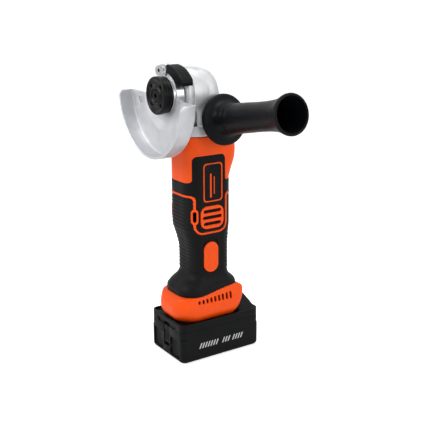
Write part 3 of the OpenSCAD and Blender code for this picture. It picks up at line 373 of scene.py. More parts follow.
def edit(obj, kind="FACE"):
    """Opens obj in edit mode with nothing selected."""
    work_on(obj)
    bpy.ops.object.mode_set(mode="EDIT")
    bpy.ops.mesh.select_mode(type=kind)
    bpy.ops.mesh.select_all(action="DESELECT")


def edit_all(obj, kind="FACE"):
    """Opens obj in edit mode with everything selected."""
    edit(obj, kind)
    bpy.ops.mesh.select_all(action="SELECT")


def select_faces(obj, wanted):
    """Opens obj with the faces selected whose centre (mm) and normal pass the test."""
    edit(obj)
    mesh = bmesh.from_edit_mesh(obj.data)
    for face in mesh.faces:
        face.select_set(wanted(face.calc_center_median() * 1000, face.normal))
    bmesh.update_edit_mesh(obj.data)


def select_points(obj, wanted):
    """Opens obj with the points selected whose place (mm) passes the test."""
    edit(obj, "VERT")
    mesh = bmesh.from_edit_mesh(obj.data)
    for point in mesh.verts:
        point.select_set(wanted(point.co * 1000))
    mesh.select_flush(True)
    bmesh.update_edit_mesh(obj.data)


def close_up(obj):
    """Merges doubles and turns every face outwards."""
    edit_all(obj, "VERT")
    bpy.ops.mesh.remove_doubles(threshold=0.00001)
    bpy.ops.mesh.normals_make_consistent(inside=False)
    relax()
    return obj


def apply_modifier(obj, kind, **settings):
    """Adds one modifier with its settings and applies it."""
    work_on(obj)
    modifier = obj.modifiers.new(kind.lower(), kind)
    for key, value in settings.items():
        setattr(modifier, key, value)
    bpy.ops.object.modifier_apply(modifier=modifier.name)
    return obj


def carve(obj, tool, how="DIFFERENCE", keep=False):
    """Cuts tool out of obj, or keeps only what both share with how="INTERSECT"."""
    apply_modifier(obj, "BOOLEAN", operation=how, object=tool, solver="EXACT")
    if not keep:
        bpy.data.objects.remove(tool)
    return obj


def copy_of(obj, name):
    """A copy with its own mesh."""
    work_on(obj)
    bpy.ops.object.duplicate()
    return newly_added(name)


def joined(pieces, name):
    """One object from several."""
    work_on(pieces[0])
    for piece in pieces[1:]:
        piece.select_set(True)
    bpy.ops.object.join()
    return newly_added(name)


def smooth(obj, angle=None):
    """Smooth shading, everywhere or only across edges flatter than an angle in degrees."""
    work_on(obj)
    if angle is None:
        bpy.ops.object.shade_smooth()
    else:
        bpy.ops.object.shade_smooth_by_angle(angle=math.radians(angle))
    return obj


def moulded(obj, voxel, rounds):
    """Melts joined shapes into one skin with softly rounded edges, as a mould leaves them."""
    apply_modifier(obj, "REMESH", mode="VOXEL", voxel_size=mm(voxel))
    edit_all(obj, "VERT")
    bpy.ops.mesh.vertices_smooth(factor=0.5, repeat=rounds)
    return smooth(obj)


def soft_edges(obj, width, segments, angle=35):
    """Rounds every edge sharper than the angle."""
    apply_modifier(obj, "BEVEL", width=mm(width), segments=segments, limit_method="ANGLE",
                   angle_limit=math.radians(angle))
    return smooth(obj, 40)


def hand_over(obj, body, finish, slot, *nodes):
    """Gives a finished piece its material, its body and the solids that it stands for."""
    obj.data.materials.clear()
    obj.data.materials.append(finish)
    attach(obj, body)
    if nodes:
        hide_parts(*nodes)
    print(obj.name, len(obj.data.polygons), "faces")


# %% Drawing an outline


def from_side(x):
    """Points of a side view, (y, z) at a width x."""
    return lambda u, v: mm(x, u, v)


def from_front(y):
    """Points of a front view, (x, z) at a depth y."""
    return lambda u, v: mm(u, y, v)


def from_above(z):
    """Points of a plan, (x, y) at a height z."""
    return lambda u, v: mm(u, v, z)


def draw_line(name, points):
    """A chain of edges through world points, drawn one after another and left selected."""
    relax()
    bpy.ops.mesh.primitive_plane_add(size=0.001, location=points[0])
    obj = newly_added(name)
    edit_all(obj, "VERT")
    bpy.ops.mesh.merge(type="CENTER")
    for here, there in zip(points, points[1:]):
        bpy.ops.mesh.extrude_region_move(TRANSFORM_OT_translate={"value": there - here})
    bpy.ops.mesh.select_all(action="SELECT")
    return obj


def bar(name, outline, view, push, steps=6):
    """An outline of (u, v, corner radius) points in a view, pushed along a vector in mm."""
    obj = draw_line(name, [view(u, v) for u, v, r in outline])
    bpy.ops.mesh.edge_face_add()
    for u, v, r in outline:
        if r:
            corner = view(u, v) * 1000
            select_points(obj, lambda co: (co - corner).length < 0.01)
            bpy.ops.mesh.bevel(offset=mm(r), segments=steps, affect="VERTICES")
    edit_all(obj)
    bpy.ops.mesh.extrude_region_move(TRANSFORM_OT_translate={"value": mm(*push)})
    return close_up(obj)


def box_outline(u, v, width, height, r):
    """A rounded rectangle about a centre."""
    a, b = width / 2, height / 2
    return [(u - a, v - b, r), (u + a, v - b, r), (u + a, v + b, r), (u - a, v + b, r)]


def on_side(name, outline, side, x, depth, steps=6):
    """An outline pushed outwards from a width on the left side (-1) or the right side (1)."""
    return bar(name, outline, from_side(side * x), (side * depth, 0, 0), steps)


# %% Upright rounded forms


def section_centre(row):
    """The middle of a section's front and back, at its height."""
    return mm(0, (row[2] + row[3]) / 2, row[0])


def upright(name, rows, corner=8, front_r=0):
    """A closed form through sections: rows of (z, half width, front, back, corner radius)."""
    relax()
    first = rows[0]
    bpy.ops.mesh.primitive_plane_add(size=1, location=section_centre(first))
    bpy.ops.transform.resize(value=(mm(2 * first[1]), mm(first[3] - first[2]), 1))
    obj = newly_added(name)
    if front_r:
        for r, ahead in ((front_r, True), (first[4], False)):
            select_points(obj, lambda co: abs(co.y - (first[2] if ahead else first[3])) < 0.01)
            bpy.ops.mesh.bevel(offset=mm(r), segments=corner, affect="VERTICES")
    else:
        edit_all(obj, "VERT")
        bpy.ops.mesh.bevel(offset=mm(first[4]), segments=corner, affect="VERTICES")
    edit_all(obj)
    for last, row in zip(rows, rows[1:]):
        centre = section_centre(row)
        step = centre - section_centre(last)
        bpy.ops.mesh.extrude_region_move(TRANSFORM_OT_translate={"value": step})
        scale = (row[1] / last[1], (row[3] - row[2]) / (last[3] - last[2]), 1)
        bpy.ops.transform.resize(value=scale, center_override=centre)
    return close_up(obj)


def flowing(rows, parts=4):
    """Adds rows between the given ones on a smooth curve, so that no kink shows in the profile."""
    full = []
    for i in range(len(rows) - 1):
        before, here = rows[max(i - 1, 0)], rows[i]
        there, after = rows[i + 1], rows[min(i + 2, len(rows) - 1)]
        for p in range(parts):
            t = p / parts
            full.append([
                b + 0.5 * t * (c - a + t * (2 * a - 5 * b + 4 * c - d + t * (3 * (b - c) + d - a)))
                for a, b, c, d in zip(before, here, there, after)])
    return full + [list(rows[-1])]


def inset(rows, d):
    """The same form, d smaller all round (larger if d is negative)."""
    return [(z, a - d, f + d, k - d, max(r - d, 1)) for z, a, f, k, r in rows]


# %% Turned parts


side_axis, back_axis, up_axis = Vector((1, 0, 0)), Vector((0, 1, 0)), Vector((0, 0, 1))


def turned(name, profile, centre, axis, across, steps=96):
    """Spins a profile of (distance along the axis, radius) about a line through centre."""
    obj = draw_line(name, [centre + mm(a) * axis + mm(r) * across for a, r in profile])
    bpy.ops.mesh.spin(steps=steps, angle=math.tau, center=centre, axis=axis)
    return close_up(obj)


print("workbench ready")

# %% [markdown]
# ## The body's form
# The motor housing, the grip and the flare at its foot are one flowing form, thick at the motor,
# slim where the hand holds it and wide again above the battery. It is drawn once as rounded
# sections stacked upwards, and every shell and skin is cut from it, so that orange and black
# always meet flush.

# %% Rows of the body
body_rows = flowing([
    (79, 31.8, -45.6, 35.2, 22), (86, 32.2, -45.8, 35.4, 22), (92, 31.4, -44.6, 34.6, 22),
    (97, 28.6, -40.2, 30.8, 17), (101, 26.8, -34.2, 27.6, 17), (106, 25.7, -30.2, 25.6, 17),
    (112, 25.5, -29.4, 25.2, 17), (136, 25.5, -29.4, 25.2, 17), (147, 25.9, -31.2, 25.5, 17.5),
    (158, 27.2, -34.6, 26.3, 19), (168, 28.5, -37.1, 27.1, 20), (176, 28.75, -37.6, 27.2, 20)])
body_rows += [(z, 28.75, -37.6, 27.2, 20) for z in (200, 225, 250, 283)]
body = upright("body_form", body_rows)
skin, wall, proud = 1.7, 3.4, 0.7  # depth of the black skins, whole wall, height of the piping


def longer(rows, low=60, high=300):
    """The same form with its two ends drawn out, for cutting right through."""
    return [(low, *rows[0][1:])] + rows + [(high, *rows[-1][1:])]


core = upright("body_core", longer(inset(body_rows, skin)))
hollow = upright("body_hollow", longer(inset(body_rows, wall), 55, 305))
raised = upright("raised_form", inset(body_rows, -proud))
print("rows:", len(body_rows))

# %% [markdown]
# ## Outlines of the two black skins
# Seen from the side, a hard black panel frames the label and the vent, and a soft grip wraps the
# rest. Both outlines are pushed right through the body, so one drawing gives both sides. What lies
# between them is the orange piping.

# %% Panel, grip and piping outlines
through = (from_side(-45), (90, 0, 0))
pipe = 2.6
front, back, low, middle, far = -28.6, 12.8, 163.9, 211.3, 60
panel_points = [
    (-far, middle, 0), (front, middle, 4.5), (front, low, 9.5), (back, low, 9.5),
    (back, middle, 4.5), (far, middle, 0), (far, 227, 0), (13.2, 227, 3), (13.2, 260, 6),
    (-31.5, 260, 6), (-31.5, 226.6, 5), (-far, 226.6, 0)]
grip_points = [
    (-far, middle - pipe, 0), (front - pipe, middle - pipe, 3), (front - pipe, low - pipe, 12),
    (back + pipe, low - pipe, 12), (back + pipe, middle - pipe, 3), (far, middle - pipe, 0),
    (far, 90.2, 0), (26, 89.9, 0), (14, 89.4, 4), (3, 87.9, 4), (-8, 85.6, 4), (-19, 83.4, 4),
    (-30, 82.3, 4), (-40, 81.9, 4), (-far, 81.4, 0)]
panel_bar = bar("panel_bar", panel_points, *through)
grip_bar = bar("grip_bar", grip_points, *through)
label_spot, label_size, rim = (-5.2, 226.3), (27.6, 48.4), 1.7
right_through = (from_side(-50), (100, 0, 0))


def grown(spot, size, by, r):
    """The outline of a field, larger in both directions by a given amount."""
    return box_outline(*spot, size[0] + by, size[1] + by, r)


grille_spot, grille_size = (-6.5, 182.7), (33.4, 28.8)
print("outlines drawn")

# %% [markdown]
# ## Orange housing
# The real housing is two moulded shells that meet at the middle. Here the shell is the body's form
# with its core removed where a black skin lies, and the piping is a slightly larger form kept only
# in the narrow band between the skins. Joining the pieces and melting them through a voxel remesh
# gives the small soft edges of a moulding, which a bevel could not give on so many crossing
# curves.

# %% Shell with recesses
shell = copy_of(body, "shell")
for skin_bar in (panel_bar, grip_bar):
    zone = carve(copy_of(skin_bar, "skin_zone"), core, keep=True)
    carve(shell, zone)
wide_through = (from_side(-60), (120, 0, 0))
upper = [(-far, 96, 0), (far, 96, 0), (far, 320, 0), (-far, 320, 0)]
carve(shell, bar("upper_zone", upper, *wide_through), "INTERSECT")

# %% Swelling at the back of the shoulders
swelling_rows = flowing([
    (228, 26.0, -5, 26.6, 15), (240, 27.6, -5, 30.2, 15), (252, 28.0, -5, 34.6, 15),
    (264, 28.0, -5, 36.0, 15), (275, 28.0, -5, 34.4, 15), (282.6, 27.6, -5, 31.6, 15)])
swelling = upright("swelling", swelling_rows)

# %% Piping, label frame and vent openings
band = bar(
    "band_zone", [(-far, 158, 0), (far, 158, 0), (far, middle, 0), (-far, middle, 0)], *through)
carve(band, panel_bar, keep=True)
carve(band, grip_bar, keep=True)
piping = carve(copy_of(raised, "piping"), band, "INTERSECT")
frame_bar = bar("frame_bar", box_outline(*label_spot, *label_size, 4.5), *through)
frame_hole = bar("frame_hole", grown(label_spot, label_size, -2 * rim, 3.6), *right_through)
carve(frame_bar, frame_hole)
label_frame = carve(copy_of(raised, "label_frame"), frame_bar, "INTERSECT")
housing = joined([shell, swelling, piping, label_frame], "housing")
moulded(housing, 0.7, 3)
carve(housing, copy_of(hollow, "housing_hollow"))
carve(housing, bar("vent_hole", grown(grille_spot, grille_size, -3, 8), *right_through))
switch_hole = bar(
    "switch_hole", box_outline(-6.9, 132.2, 21.8, 46.8, 10.8), from_side(12), (40, 0, 0), 10)
carve(housing, switch_hole, keep=True)
print("housing:", len(housing.data.polygons), "faces")


# %% [markdown]
# The finished ring is then parted at the middle into a left and a right half, as the real
# mouldings are.

# %% Parting at the middle
sides, half_gap = ((-1, "left"), (1, "right")), 0.06


def hand_over_halves(obj, name, finish, slot, node):
    """Cuts a piece at the middle plane and hands over its left and its right half."""
    for side, hand in sides:
        half = copy_of(obj, f"{name}_{hand}")
        edit_all(half)
        bpy.ops.mesh.bisect(
            plane_co=mm(side * half_gap, 0, 0), plane_no=(-side, 0, 0), use_fill=True,
            clear_outer=True)
        relax()
        hand_over(half, "tool", finish, slot, f"{node}_{hand}")
    bpy.data.objects.remove(obj)


hand_over_halves(housing, "housing_shell", orange_shell, "orange_plastic", "housing")

# %% [markdown]
# ## Hard black panel
# The panel sits in its recess with a hairline of shadow round it, because its outline is melted
# and smoothed on its own. The label field and the vent are cut out.

# %% Panel
panel = carve(copy_of(raised, "panel"), panel_bar, "INTERSECT", keep=True)
carve(panel, upright("trim_form", inset(body_rows, -0.1)), "INTERSECT")
carve(panel, core, keep=True)
for spot, size, r in ((label_spot, label_size, 4.5), (grille_spot, grille_size, 9)):
    carve(panel, bar("field", grown(spot, size, 0.3, r), *right_through))
moulded(panel, 0.6, 3)
hand_over_halves(panel, "panel", black_shell, "black_plastic", "side_panel")

# %% [markdown]
# ## Soft grip
# The rubber is a skin over the same core. It has fine level ribs where the fingers lie at the
# front and along the back, and it swells into a thick rounded lip above the battery. The ribs are
# thin slices of a slightly larger form, one drawn and the rest copied upwards.

# %% Grip skin and its ribs
grip = carve(copy_of(body, "grip"), grip_bar, "INTERSECT", keep=True)
carve(grip, core, keep=True)
lip_line = [
    (-70, 81.4, 0), (-40, 81.9, 0), (-19, 83.4, 0), (-8, 85.6, 0), (3, 87.9, 0), (14, 89.4, 0),
    (70, 90.2, 0)]
above = bar("above_lip", lip_line + [(70, 320, 0), (-70, 320, 0)], *wide_through)
lip = carve(copy_of(body, "lip"), above, "INTERSECT")
low_zone = [(-far, 78, 0), (far, 78, 0), (far, 99, 0), (-far, 99, 0)]
carve(lip, bar("low_zone", low_zone, *wide_through), "INTERSECT")
carve(lip, copy_of(hollow, "lip_hollow"))
roll_top = [
    (70, 97.5, 0), (14, 97, 4), (3, 95.8, 4), (-8, 93.6, 4), (-19, 91.4, 4), (-40, 90.4, 0),
    (-70, 90, 0)]
roll = bar("lip_roll_zone", lip_line + roll_top, *wide_through)
carve(roll, core, keep=True)
carve(roll, upright("roll_form", inset(body_rows, -1.1)), "INTERSECT")
rib_form = upright("rib_form", inset(body_rows, -0.55))
carve(rib_form, core, keep=True)
ribs, rib_step, rib_height = [], 4.6, 1.5
for y0, y1, start, count in ((-far, -19, 112, 9), (19, far, 112, 10), (-far, -26, 166, 9)):
    for k in range(count):
        z0 = start + rib_step * k
        z1 = z0 + rib_height
        ribs.append(bar("rib", [(y0, z0, 0), (y1, z0, 0), (y1, z1, 0), (y0, z1, 0)], *through))
rib_skin = carve(rib_form, joined(ribs, "rib_bars"), "INTERSECT")
grip = joined([grip, lip, roll, rib_skin], "grip")
moulded(grip, 0.65, 3)
carve(grip, bar("vent_field", grown(grille_spot, grille_size, 0.4, 9), *right_through))
carve(grip, switch_hole)
hand_over_halves(grip, "grip_half", soft_grip, "grip_rubber", "grip")

# %% [markdown]
# ## Label field, vents and slide switch
# The label field is a bare black plate inside its orange frame, with two plain bars where a maker
# would print. The vent is a rounded orange grille with three long slots and a dust screen behind
# it, and a small oval vent opens on each front corner. The slide switch is an orange pad with a
# shallow ring pressed into it.

# %% Label plates
plates = []
for side in (-1, 1):
    plate = on_side("plate", grown(label_spot, label_size, -2 * rim + 0.3, 3.6), side, 27.9, 0.75)
    plates.append(soft_edges(plate, 0.2, 2))
hand_over(joined(plates, "label_fields"), "tool", black_shell, "black_plastic", "label_plates")
marks = []
for side in (-1, 1):
    for y, width, height in ((-8.2, 2.2, 30), (-3.2, 1.2, 22)):
        mark = box_outline(y, 222.5, width, height, 0.5)
        marks.append(on_side("mark", mark, side, 28.6, 0.12))
hand_over(joined(marks, "label_bars"), "tool", orange_shell, "orange_plastic")

# %% Grilles
grilles = []
for side in (-1, 1):
    grille = on_side("grille", grown(grille_spot, grille_size, -0.2, 9), side, 26.4, 3.2, 8)
    soft_edges(grille, 0.9, 3)
    for row in (-1, 0, 1):
        y, z = grille_spot
        opening = box_outline(y, z + 7.9 * row, 28 - 2.4 * abs(row), 4.4, 2.2)
        carve(grille, on_side("slot", opening, side, 20, 14))
    grilles.append(soft_edges(grille, 0.4, 2))
hand_over(joined(grilles, "side_grilles"), "tool", orange_shell, "orange_plastic", "vent_grilles")
field = grown(grille_spot, grille_size, -3.4, 7.5)
screens = [on_side("screen", field, side, 25.5, 0.8) for side in (-1, 1)]
hand_over(joined(screens, "dust_screens"), "tool", black_shell, "black_plastic")

# %% Corner vents
corner_pieces = []
turn_in, corner_middle = math.radians(36.6), mm(8.75, -17.6, 0)
for side, hand in sides:
    ring = bar("corner_ring", box_outline(0, 185, 9.2, 19.4, 4.4), from_side(18.1), (3, 0, 0), 8)
    slot = bar("corner_slot", box_outline(0, 185, 4.6, 13.8, 2.2), from_side(10), (20, 0, 0), 8)
    carve(ring, slot, keep=True)
    soft_edges(ring, 0.6, 3)
    for piece in (ring, slot):
        edit_all(piece)
        bpy.ops.transform.rotate(value=turn_in, orient_axis="Z", center_override=(0, 0, 0))
        bpy.ops.transform.translate(value=corner_middle)
        if side < 0:
            bpy.ops.transform.mirror(
                constraint_axis=(True, False, False), center_override=(0, 0, 0))
        close_up(piece)
    corner_pieces.append(ring)
    for name in ("housing_shell", "panel", "grip_half"):
        carve(bpy.data.objects[f"{name}_{hand}"], slot, keep=True)
    bpy.data.objects.remove(slot)
hand_over(
    joined(corner_pieces, "corner_grilles"), "tool", orange_shell, "orange_plastic", "corner_vents"
)

# %% Slide switch
pad = bar(
    "switch_pad", box_outline(-6.9, 130.4, 20.4, 39.6, 10.2), from_side(24.3), (3.5, 0, 0), 12)
soft_edges(pad, 1.1, 4, 60)
select_faces(pad, lambda centre, normal: normal.x > 0.99 and centre.x > 27)
bpy.ops.mesh.inset(thickness=mm(2.4), depth=0)
bpy.ops.mesh.inset(thickness=mm(0.5), depth=mm(-0.35))
bpy.ops.mesh.inset(thickness=mm(0.7), depth=mm(0.35))
relax()
hand_over(pad, "switch", orange_shell, "orange_plastic", "switch_cap")

# %% Put the cutting forms away
for tool in (body, core, hollow, raised, panel_bar, grip_bar):
    bpy.data.objects.remove(tool)

# %% [markdown]
# ## Base collar
# The orange collar is a fat, rolled moulding. It swells at mid height, tucks in under the black
# lip and leans in towards the battery at the back. Rounded sections give its plan, an outline seen
# from the side gives the slanted top, and what both share is the collar. A slanted loft would be
# harder to read.

# %% Collar
collar_rows = flowing([
    (49.2, 29.5, -49.5, 28.5, 9), (52, 31.8, -52.6, 30, 9), (58, 35.2, -56.4, 33.4, 9),
    (64, 36.4, -57.3, 36.0, 9), (70, 36.3, -57.0, 38.2, 9), (76, 35.4, -56.0, 40, 9),
    (82, 34.0, -55.0, 40.6, 9), (88, 32.9, -54.0, 40.5, 9), (94, 32.0, -53.0, 40, 9)], 3)
collar = upright("collar_form", collar_rows, 12, front_r=23)
side_view = [
    (-49.5, 49.2, 0), (-53.2, 52.2, 6), (-57.35, 61, 14), (-57.2, 70, 14), (-53.5, 78.2, 11),
    (-47, 81.9, 3), (-30, 82.4, 4), (-19, 83.5, 4), (-8, 85.7, 4), (3, 88, 4), (14, 89.3, 4),
    (26, 89.5, 3), (33, 88.8, 4), (40, 83.4, 5), (40.4, 77, 7), (34.4, 60, 8), (28.5, 49.2, 0)]
carve(collar, bar("collar_side", side_view, *wide_through, 8), "INTERSECT")
collar_room = upright(
    "collar_room",
    flowing([
        (40, 24, -42, 22, 7), (52, 28.5, -48.5, 26, 7), (64, 33.6, -53, 32.5, 7),
        (74, 33.4, -51, 35.5, 7), (82, 30.5, -44.5, 33, 7), (98, 28.5, -43.5, 31.4, 7)], 3),
    8, front_r=20)
moulded(collar, 0.75, 9)
carve(collar, collar_room)
slots, slot_count, slot_pitch, slot_width = [], 9, 5.85, 3.3
for k in range(slot_count):
    opening = box_outline(slot_pitch * k - 30.2, 76.2 + 0.12 * k, slot_width, 5 + 0.6 * k, 1.5)
    slots.append(bar("collar_slot", opening, *through, 4))
carve(collar, joined(slots, "collar_slots"))
hand_over(collar, "tool", orange_shell, "orange_plastic", "base_collar")

# %% [markdown]
# ## Battery foot
# The foot is the black tray that the collar stands in and that the battery slides under. Its thin
# rim catches the light all round, and a ramp rises from it behind the collar. Underneath, a
# channel with overhanging lips takes the battery's rail.

# %% Foot


def boxed(name, z0, z1, half, front, back, r, steps=8):
    """A rounded box between two heights."""
    outline = [(-half, front, r), (half, front, r), (half, back, r), (-half, back, r)]
    return bar(name, outline, from_above(z0), (0, 0, z1 - z0), steps)


foot_low, foot_top = 41.8, 51.9
foot = boxed("foot_tray", foot_low, foot_top, 38.75, -58.4, 58.4, 8)
carve(foot, boxed("tray_room", 49, 60, 36.5, -56.1, 56.1, 5.8))
carve(foot, boxed("channel", 43.2, 46.8, 22.3, -80, 44.5, 0))
carve(foot, boxed("channel_mouth", 40, 43.5, 19.3, -80, 44.5, 0))
bore = [(-1, 0), (-1, 3.3), (3.6, 3.3), (3.6, 1.7), (20, 1.7), (20, 0)]
for x in (-25.8, 25.8):
    for y in (-25, 8):
        carve(foot, turned("screw_bore", bore, mm(x, y, foot_low), up_axis, side_axis, 32))
soft_edges(foot, 0.45, 3)
back_ramp = upright("back_ramp", [
    (48.6, 35.6, 28.2, 57.2, 7), (51.6, 34.8, 29.2, 57.0, 7), (56, 25.6, 31.6, 56.4, 6),
    (60, 16.6, 33.8, 55.6, 6), (63.4, 9, 35.8, 54.6, 4), (64.4, 5.5, 37, 53, 3)])
soft_edges(back_ramp, 0.8, 3, 12)
catches = [foot, back_ramp]
for x in (-17.5, 17.5):
    catch = bar("rim_catch", box_outline(x, -57.3, 8.5, 1.9, 0.9), from_above(46.5), (0, 0, 6.1))
    catches.append(soft_edges(catch, 0.7, 3))
hand_over(joined(catches, "foot_tray"), "tool", pack_plastic, "black_plastic", "battery_foot")

# %% [markdown]
# ## Battery pack
# A slide-on pack is a moulded case with a lid on top, welded along a fine seam. Its lower edges
# are well rounded. The front carries two shallow recesses with a column between them, where a
# thumb tab is pressed down to free the pack. A thin wall behind the tab keeps the cells out of
# sight.

# %% Case


def facing(name, half, z0, z1, y, depth, low_r=0, top_r=0):
    """A plate seen from the front, the same to both sides, with its own radius below and above."""
    outline = [(-half, z0, low_r), (half, z0, low_r), (half, z1, top_r), (-half, z1, top_r)]
    return bar(name, outline, from_front(y), (0, depth, 0))


pack_half, pack_end, pack_r, belly = 38.8, 58.5, 8, 5
pack_front, seam, tab_half, wing_half = -60, 31.4, 6.2, 15
pack_rows = []
for step in range(7):
    turn = math.radians(15 * step)
    d = belly * (1 - math.sin(turn))
    z = belly - belly * math.cos(turn)
    pack_rows.append((z, pack_half - d, d - pack_end, pack_end - d, pack_r - d / 2))
pack_rows += [(z, pack_half, -pack_end, pack_end, pack_r) for z in (15, seam)]
case = upright("pack_box", pack_rows)
pack_room = (35.1, -53.9, 55.1, 5.6)
carve(case, boxed("case_room", 2.4, 40, *pack_room))
carve(case, facing("tab_back", 16.5, 2, 31.3, -54.1, 1.3), "UNION")
for s in (-1, 1):
    recess = box_outline(s * 20.5, 17.4, 23, 24.4, 3)
    carve(case, bar("front_recess", recess, from_front(pack_front), (0, 3.5, 0)))
carve(case, facing("tab_slot", tab_half + 0.4, 13.4, 45, pack_front, 6, 2.5))
carve(case, facing("tab_room", wing_half + 0.5, 13.5, 45, -56.4, 2.5))
soft_edges(case, 0.3, 2)
hand_over(case, "battery", pack_plastic, "black_plastic", "pack_case")

# %% Lid with its rail
lid = boxed("pack_lid_box", 31.55, 41.5, pack_half, -pack_end, pack_end, pack_r)
carve(lid, boxed("lid_room", 30, 39.2, *pack_room))
carve(lid, boxed("rail_foot", 41.2, 44, 19, -57.3, 44, 1), "UNION")
carve(lid, boxed("rail_head", 43.5, 46.4, 22, -57.3, 44, 1.5), "UNION")
carve(lid, facing("lid_slot", tab_half + 0.4, 30, 45, pack_front, 5.7))
carve(lid, facing("lid_tab_room", wing_half + 0.5, 30, 40.4, -56.4, 2.5))
for x in (-12, -4, 4, 12):
    carve(lid, bar("blade_slot", box_outline(x, 36, 1.8, 60, 0), from_above(43.5), (0, 0, 10)))
soft_edges(lid, 0.3, 2)
hand_over(lid, "battery", pack_plastic, "black_plastic", "pack_lid")

# %% Thumb tab
tab = facing("thumb_tab", tab_half, 18, 41.1, -58, 3.5, 2, 1.5)
carve(tab, facing("tab_wings", wing_half, 18, 39.9, -56.2, 1.9, 1, 1), "UNION")
for x in (-4.4, -2.2, 0, 2.2, 4.4):
    carve(tab, bar("tab_groove", box_outline(x, 28, 0.9, 14, 0), from_front(-59), (0, 1.5, 0)))
soft_edges(tab, 0.2, 2)
hand_over(tab, "latch", black_shell, "black_plastic", "pack_latch")

# %% [markdown]
# Two small coil springs push the tab up again. A circle of wire is drawn beside each axis and
# wound up by a screw modifier.

# %% Tab springs
springs, turns, wire_r, coil_r, coil_length = [], 5, 0.26, 1.08, 3.7
for x in (-8, 8):
    relax()
    seat = mm(x, -55.8, 13.95)
    bpy.ops.mesh.primitive_circle_add(
        vertices=8, radius=mm(wire_r), location=seat + mm(coil_r, 0, 0),
        rotation=(math.pi / 2, 0, 0), fill_type="NGON")
    wire = newly_added("tab_spring")
    scene.cursor.location = seat
    bpy.ops.object.origin_set(type="ORIGIN_CURSOR")
    apply_modifier(wire, "SCREW", angle=turns * math.tau, screw_offset=mm(coil_length), steps=80,
                   render_steps=80, use_merge_vertices=True)
    edit_all(wire, "VERT")
    bpy.ops.mesh.fill_holes(sides=0)
    springs.append(close_up(wire))
coils = joined(springs, "tab_springs")
scene.cursor.location = (0, 0, 0)
hand_over(coils, "battery", ground_steel, "steel", "latch_spring")
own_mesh(coils)

# %% [markdown]
# ## Plain strokes on the pack
# A maker would print on the pack's sides. Here a row of plain slanted strokes stands in that
# place, thin enough to read as paint.

# %% Painted strokes
strokes = []
for s in (-1, 1):
    for start, count in ((-33, 7), (1.5, 3), (17, 4)):
        for k in range(count):
            y = start + 4.1 * k
            slant = [
                (y - 0.9, 16.5, 0), (y + 0.9, 16.5, 0), (y + 3.9, 23.5, 0), (y + 2.1, 23.5, 0)]
            strokes.append(on_side("stroke", slant, s, pack_half - 0.05, 0.09))
hand_over(joined(strokes, "pack_strokes"), "battery", pale_paint, "black_plastic")

# %% [markdown]
# ## Gear case
# The gear case is a silver-painted aluminium casting: a short barrel round the spindle, a squarish
# shoulder behind it and a flange that is screwed to the motor housing. The forms are joined and
# melted into one skin, because a casting has no sharp inner corners anywhere. Holes are cut after
# that.

# %% Turning about the spindle
spindle_z = 333
spindle_centre = mm(0, 0, spindle_z)


def about_spindle(name, profile, steps=96):
    """A turned part on the spindle: (y, radius) points."""
    return turned(name, profile, spindle_centre, back_axis, side_axis, steps)


def rod_at(name, x, z, y0, y1, r, steps=32):
    """A plain rod along the spindle's direction, for cutting holes."""
    return turned(
        name, [(y0, 0), (y0, r), (y1, r), (y1, 0)], mm(x, 0, z), back_axis, side_axis, steps)


def round_spindle(radius, degrees, x=0, z=spindle_z):
    """A place (x, z) on a circle round the spindle or round another centre, from +X upwards."""
    a = math.radians(degrees)
    return x + radius * math.cos(a), z + radius * math.sin(a)


def handle_frame(s):
    """Foot and direction of the side handle's axis on one side."""
    lean = math.radians(10)
    return mm(30 * s, 1.5, 302), Vector((s * math.cos(lean), 0, math.sin(lean)))


# %% Casting
motor_y, button_spot = -5.2, (-12.9, 339)
barrel = about_spindle("barrel", [
    (-31, 0), (-31, 30.4), (-30.4, 31), (-19, 31), (-12, 30.3), (-6, 28.4), (-1, 25), (3, 20),
    (5, 14), (6, 0)])
shoulder_rows = flowing([
    (290, 27.3, -31, 26.6, 19), (303, 27.7, -31, 25, 19), (311, 28.3, -31, 22, 18),
    (319, 29.2, -31, 18.2, 17), (327, 29.8, -31, 14.4, 16.5), (334, 29.8, -31, 11.8, 16),
    (343, 28.2, -31, 10.3, 15), (350, 25.6, -31, 8.2, 13.5), (355, 22.6, -31, 5.3, 12),
    (359, 19, -31, 1.5, 10.5), (362, 14.5, -31, -4.5, 8), (363.8, 9, -31, -13, 5.5)], 2)
shoulder = upright("shoulder", shoulder_rows)
flange = boxed("case_flange", 283.1, 296, 28.75, -37.6, 31.2, 20, 12)
turret = rod_at("lock_turret", *button_spot, 4, 13.6, 8.1, 48)
forms = [barrel, shoulder, flange, turret]
for s in (-1, 1):
    boss = [(-16, 0), (-16, 9.5), (1.6, 9.5), (1.6, 0)]
    forms.append(turned("handle_boss", boss, *handle_frame(s), back_axis, 48))
casting = moulded(joined(forms, "gear_casting"), 0.85, 5)
pocket = [(0, 0), (0, 6.3), (19, 6.3), (21, 4.3), (21, 0)]
for x in (-19.8, 19.8):
    for y in (motor_y - 23.4, motor_y + 23.4):
        carve(casting, turned("screw_pocket", pocket, mm(x, y, 296), up_axis, side_axis, 32))
room = [(-33, 0), (-33, 26), (-15, 26), (-10, 24.4), (0.5, 17.5), (0.5, 9.5), (6.5, 9.5), (6.5, 0)]
carve(casting, about_spindle("case_room", room, 64))
shaft_hole = [(-2, 0), (-2, 11), (7, 11), (20, 8), (20, 0)]
carve(casting, turned("shaft_hole", shaft_hole, mm(0, motor_y, 283), up_axis, side_axis, 48))
carve(casting, rod_at("button_bore", *button_spot, 7, 20, 5.7))
thread = [(-11, 0), (-11, 4), (0.8, 4), (1.8, 5), (3, 5), (3, 0)]
for s in (-1, 1):
    carve(casting, turned("thread_hole", thread, *handle_frame(s), back_axis, 32))
smooth(casting, 50)
hand_over(casting, "tool", silver_casting, "silver_paint", "gear_case")

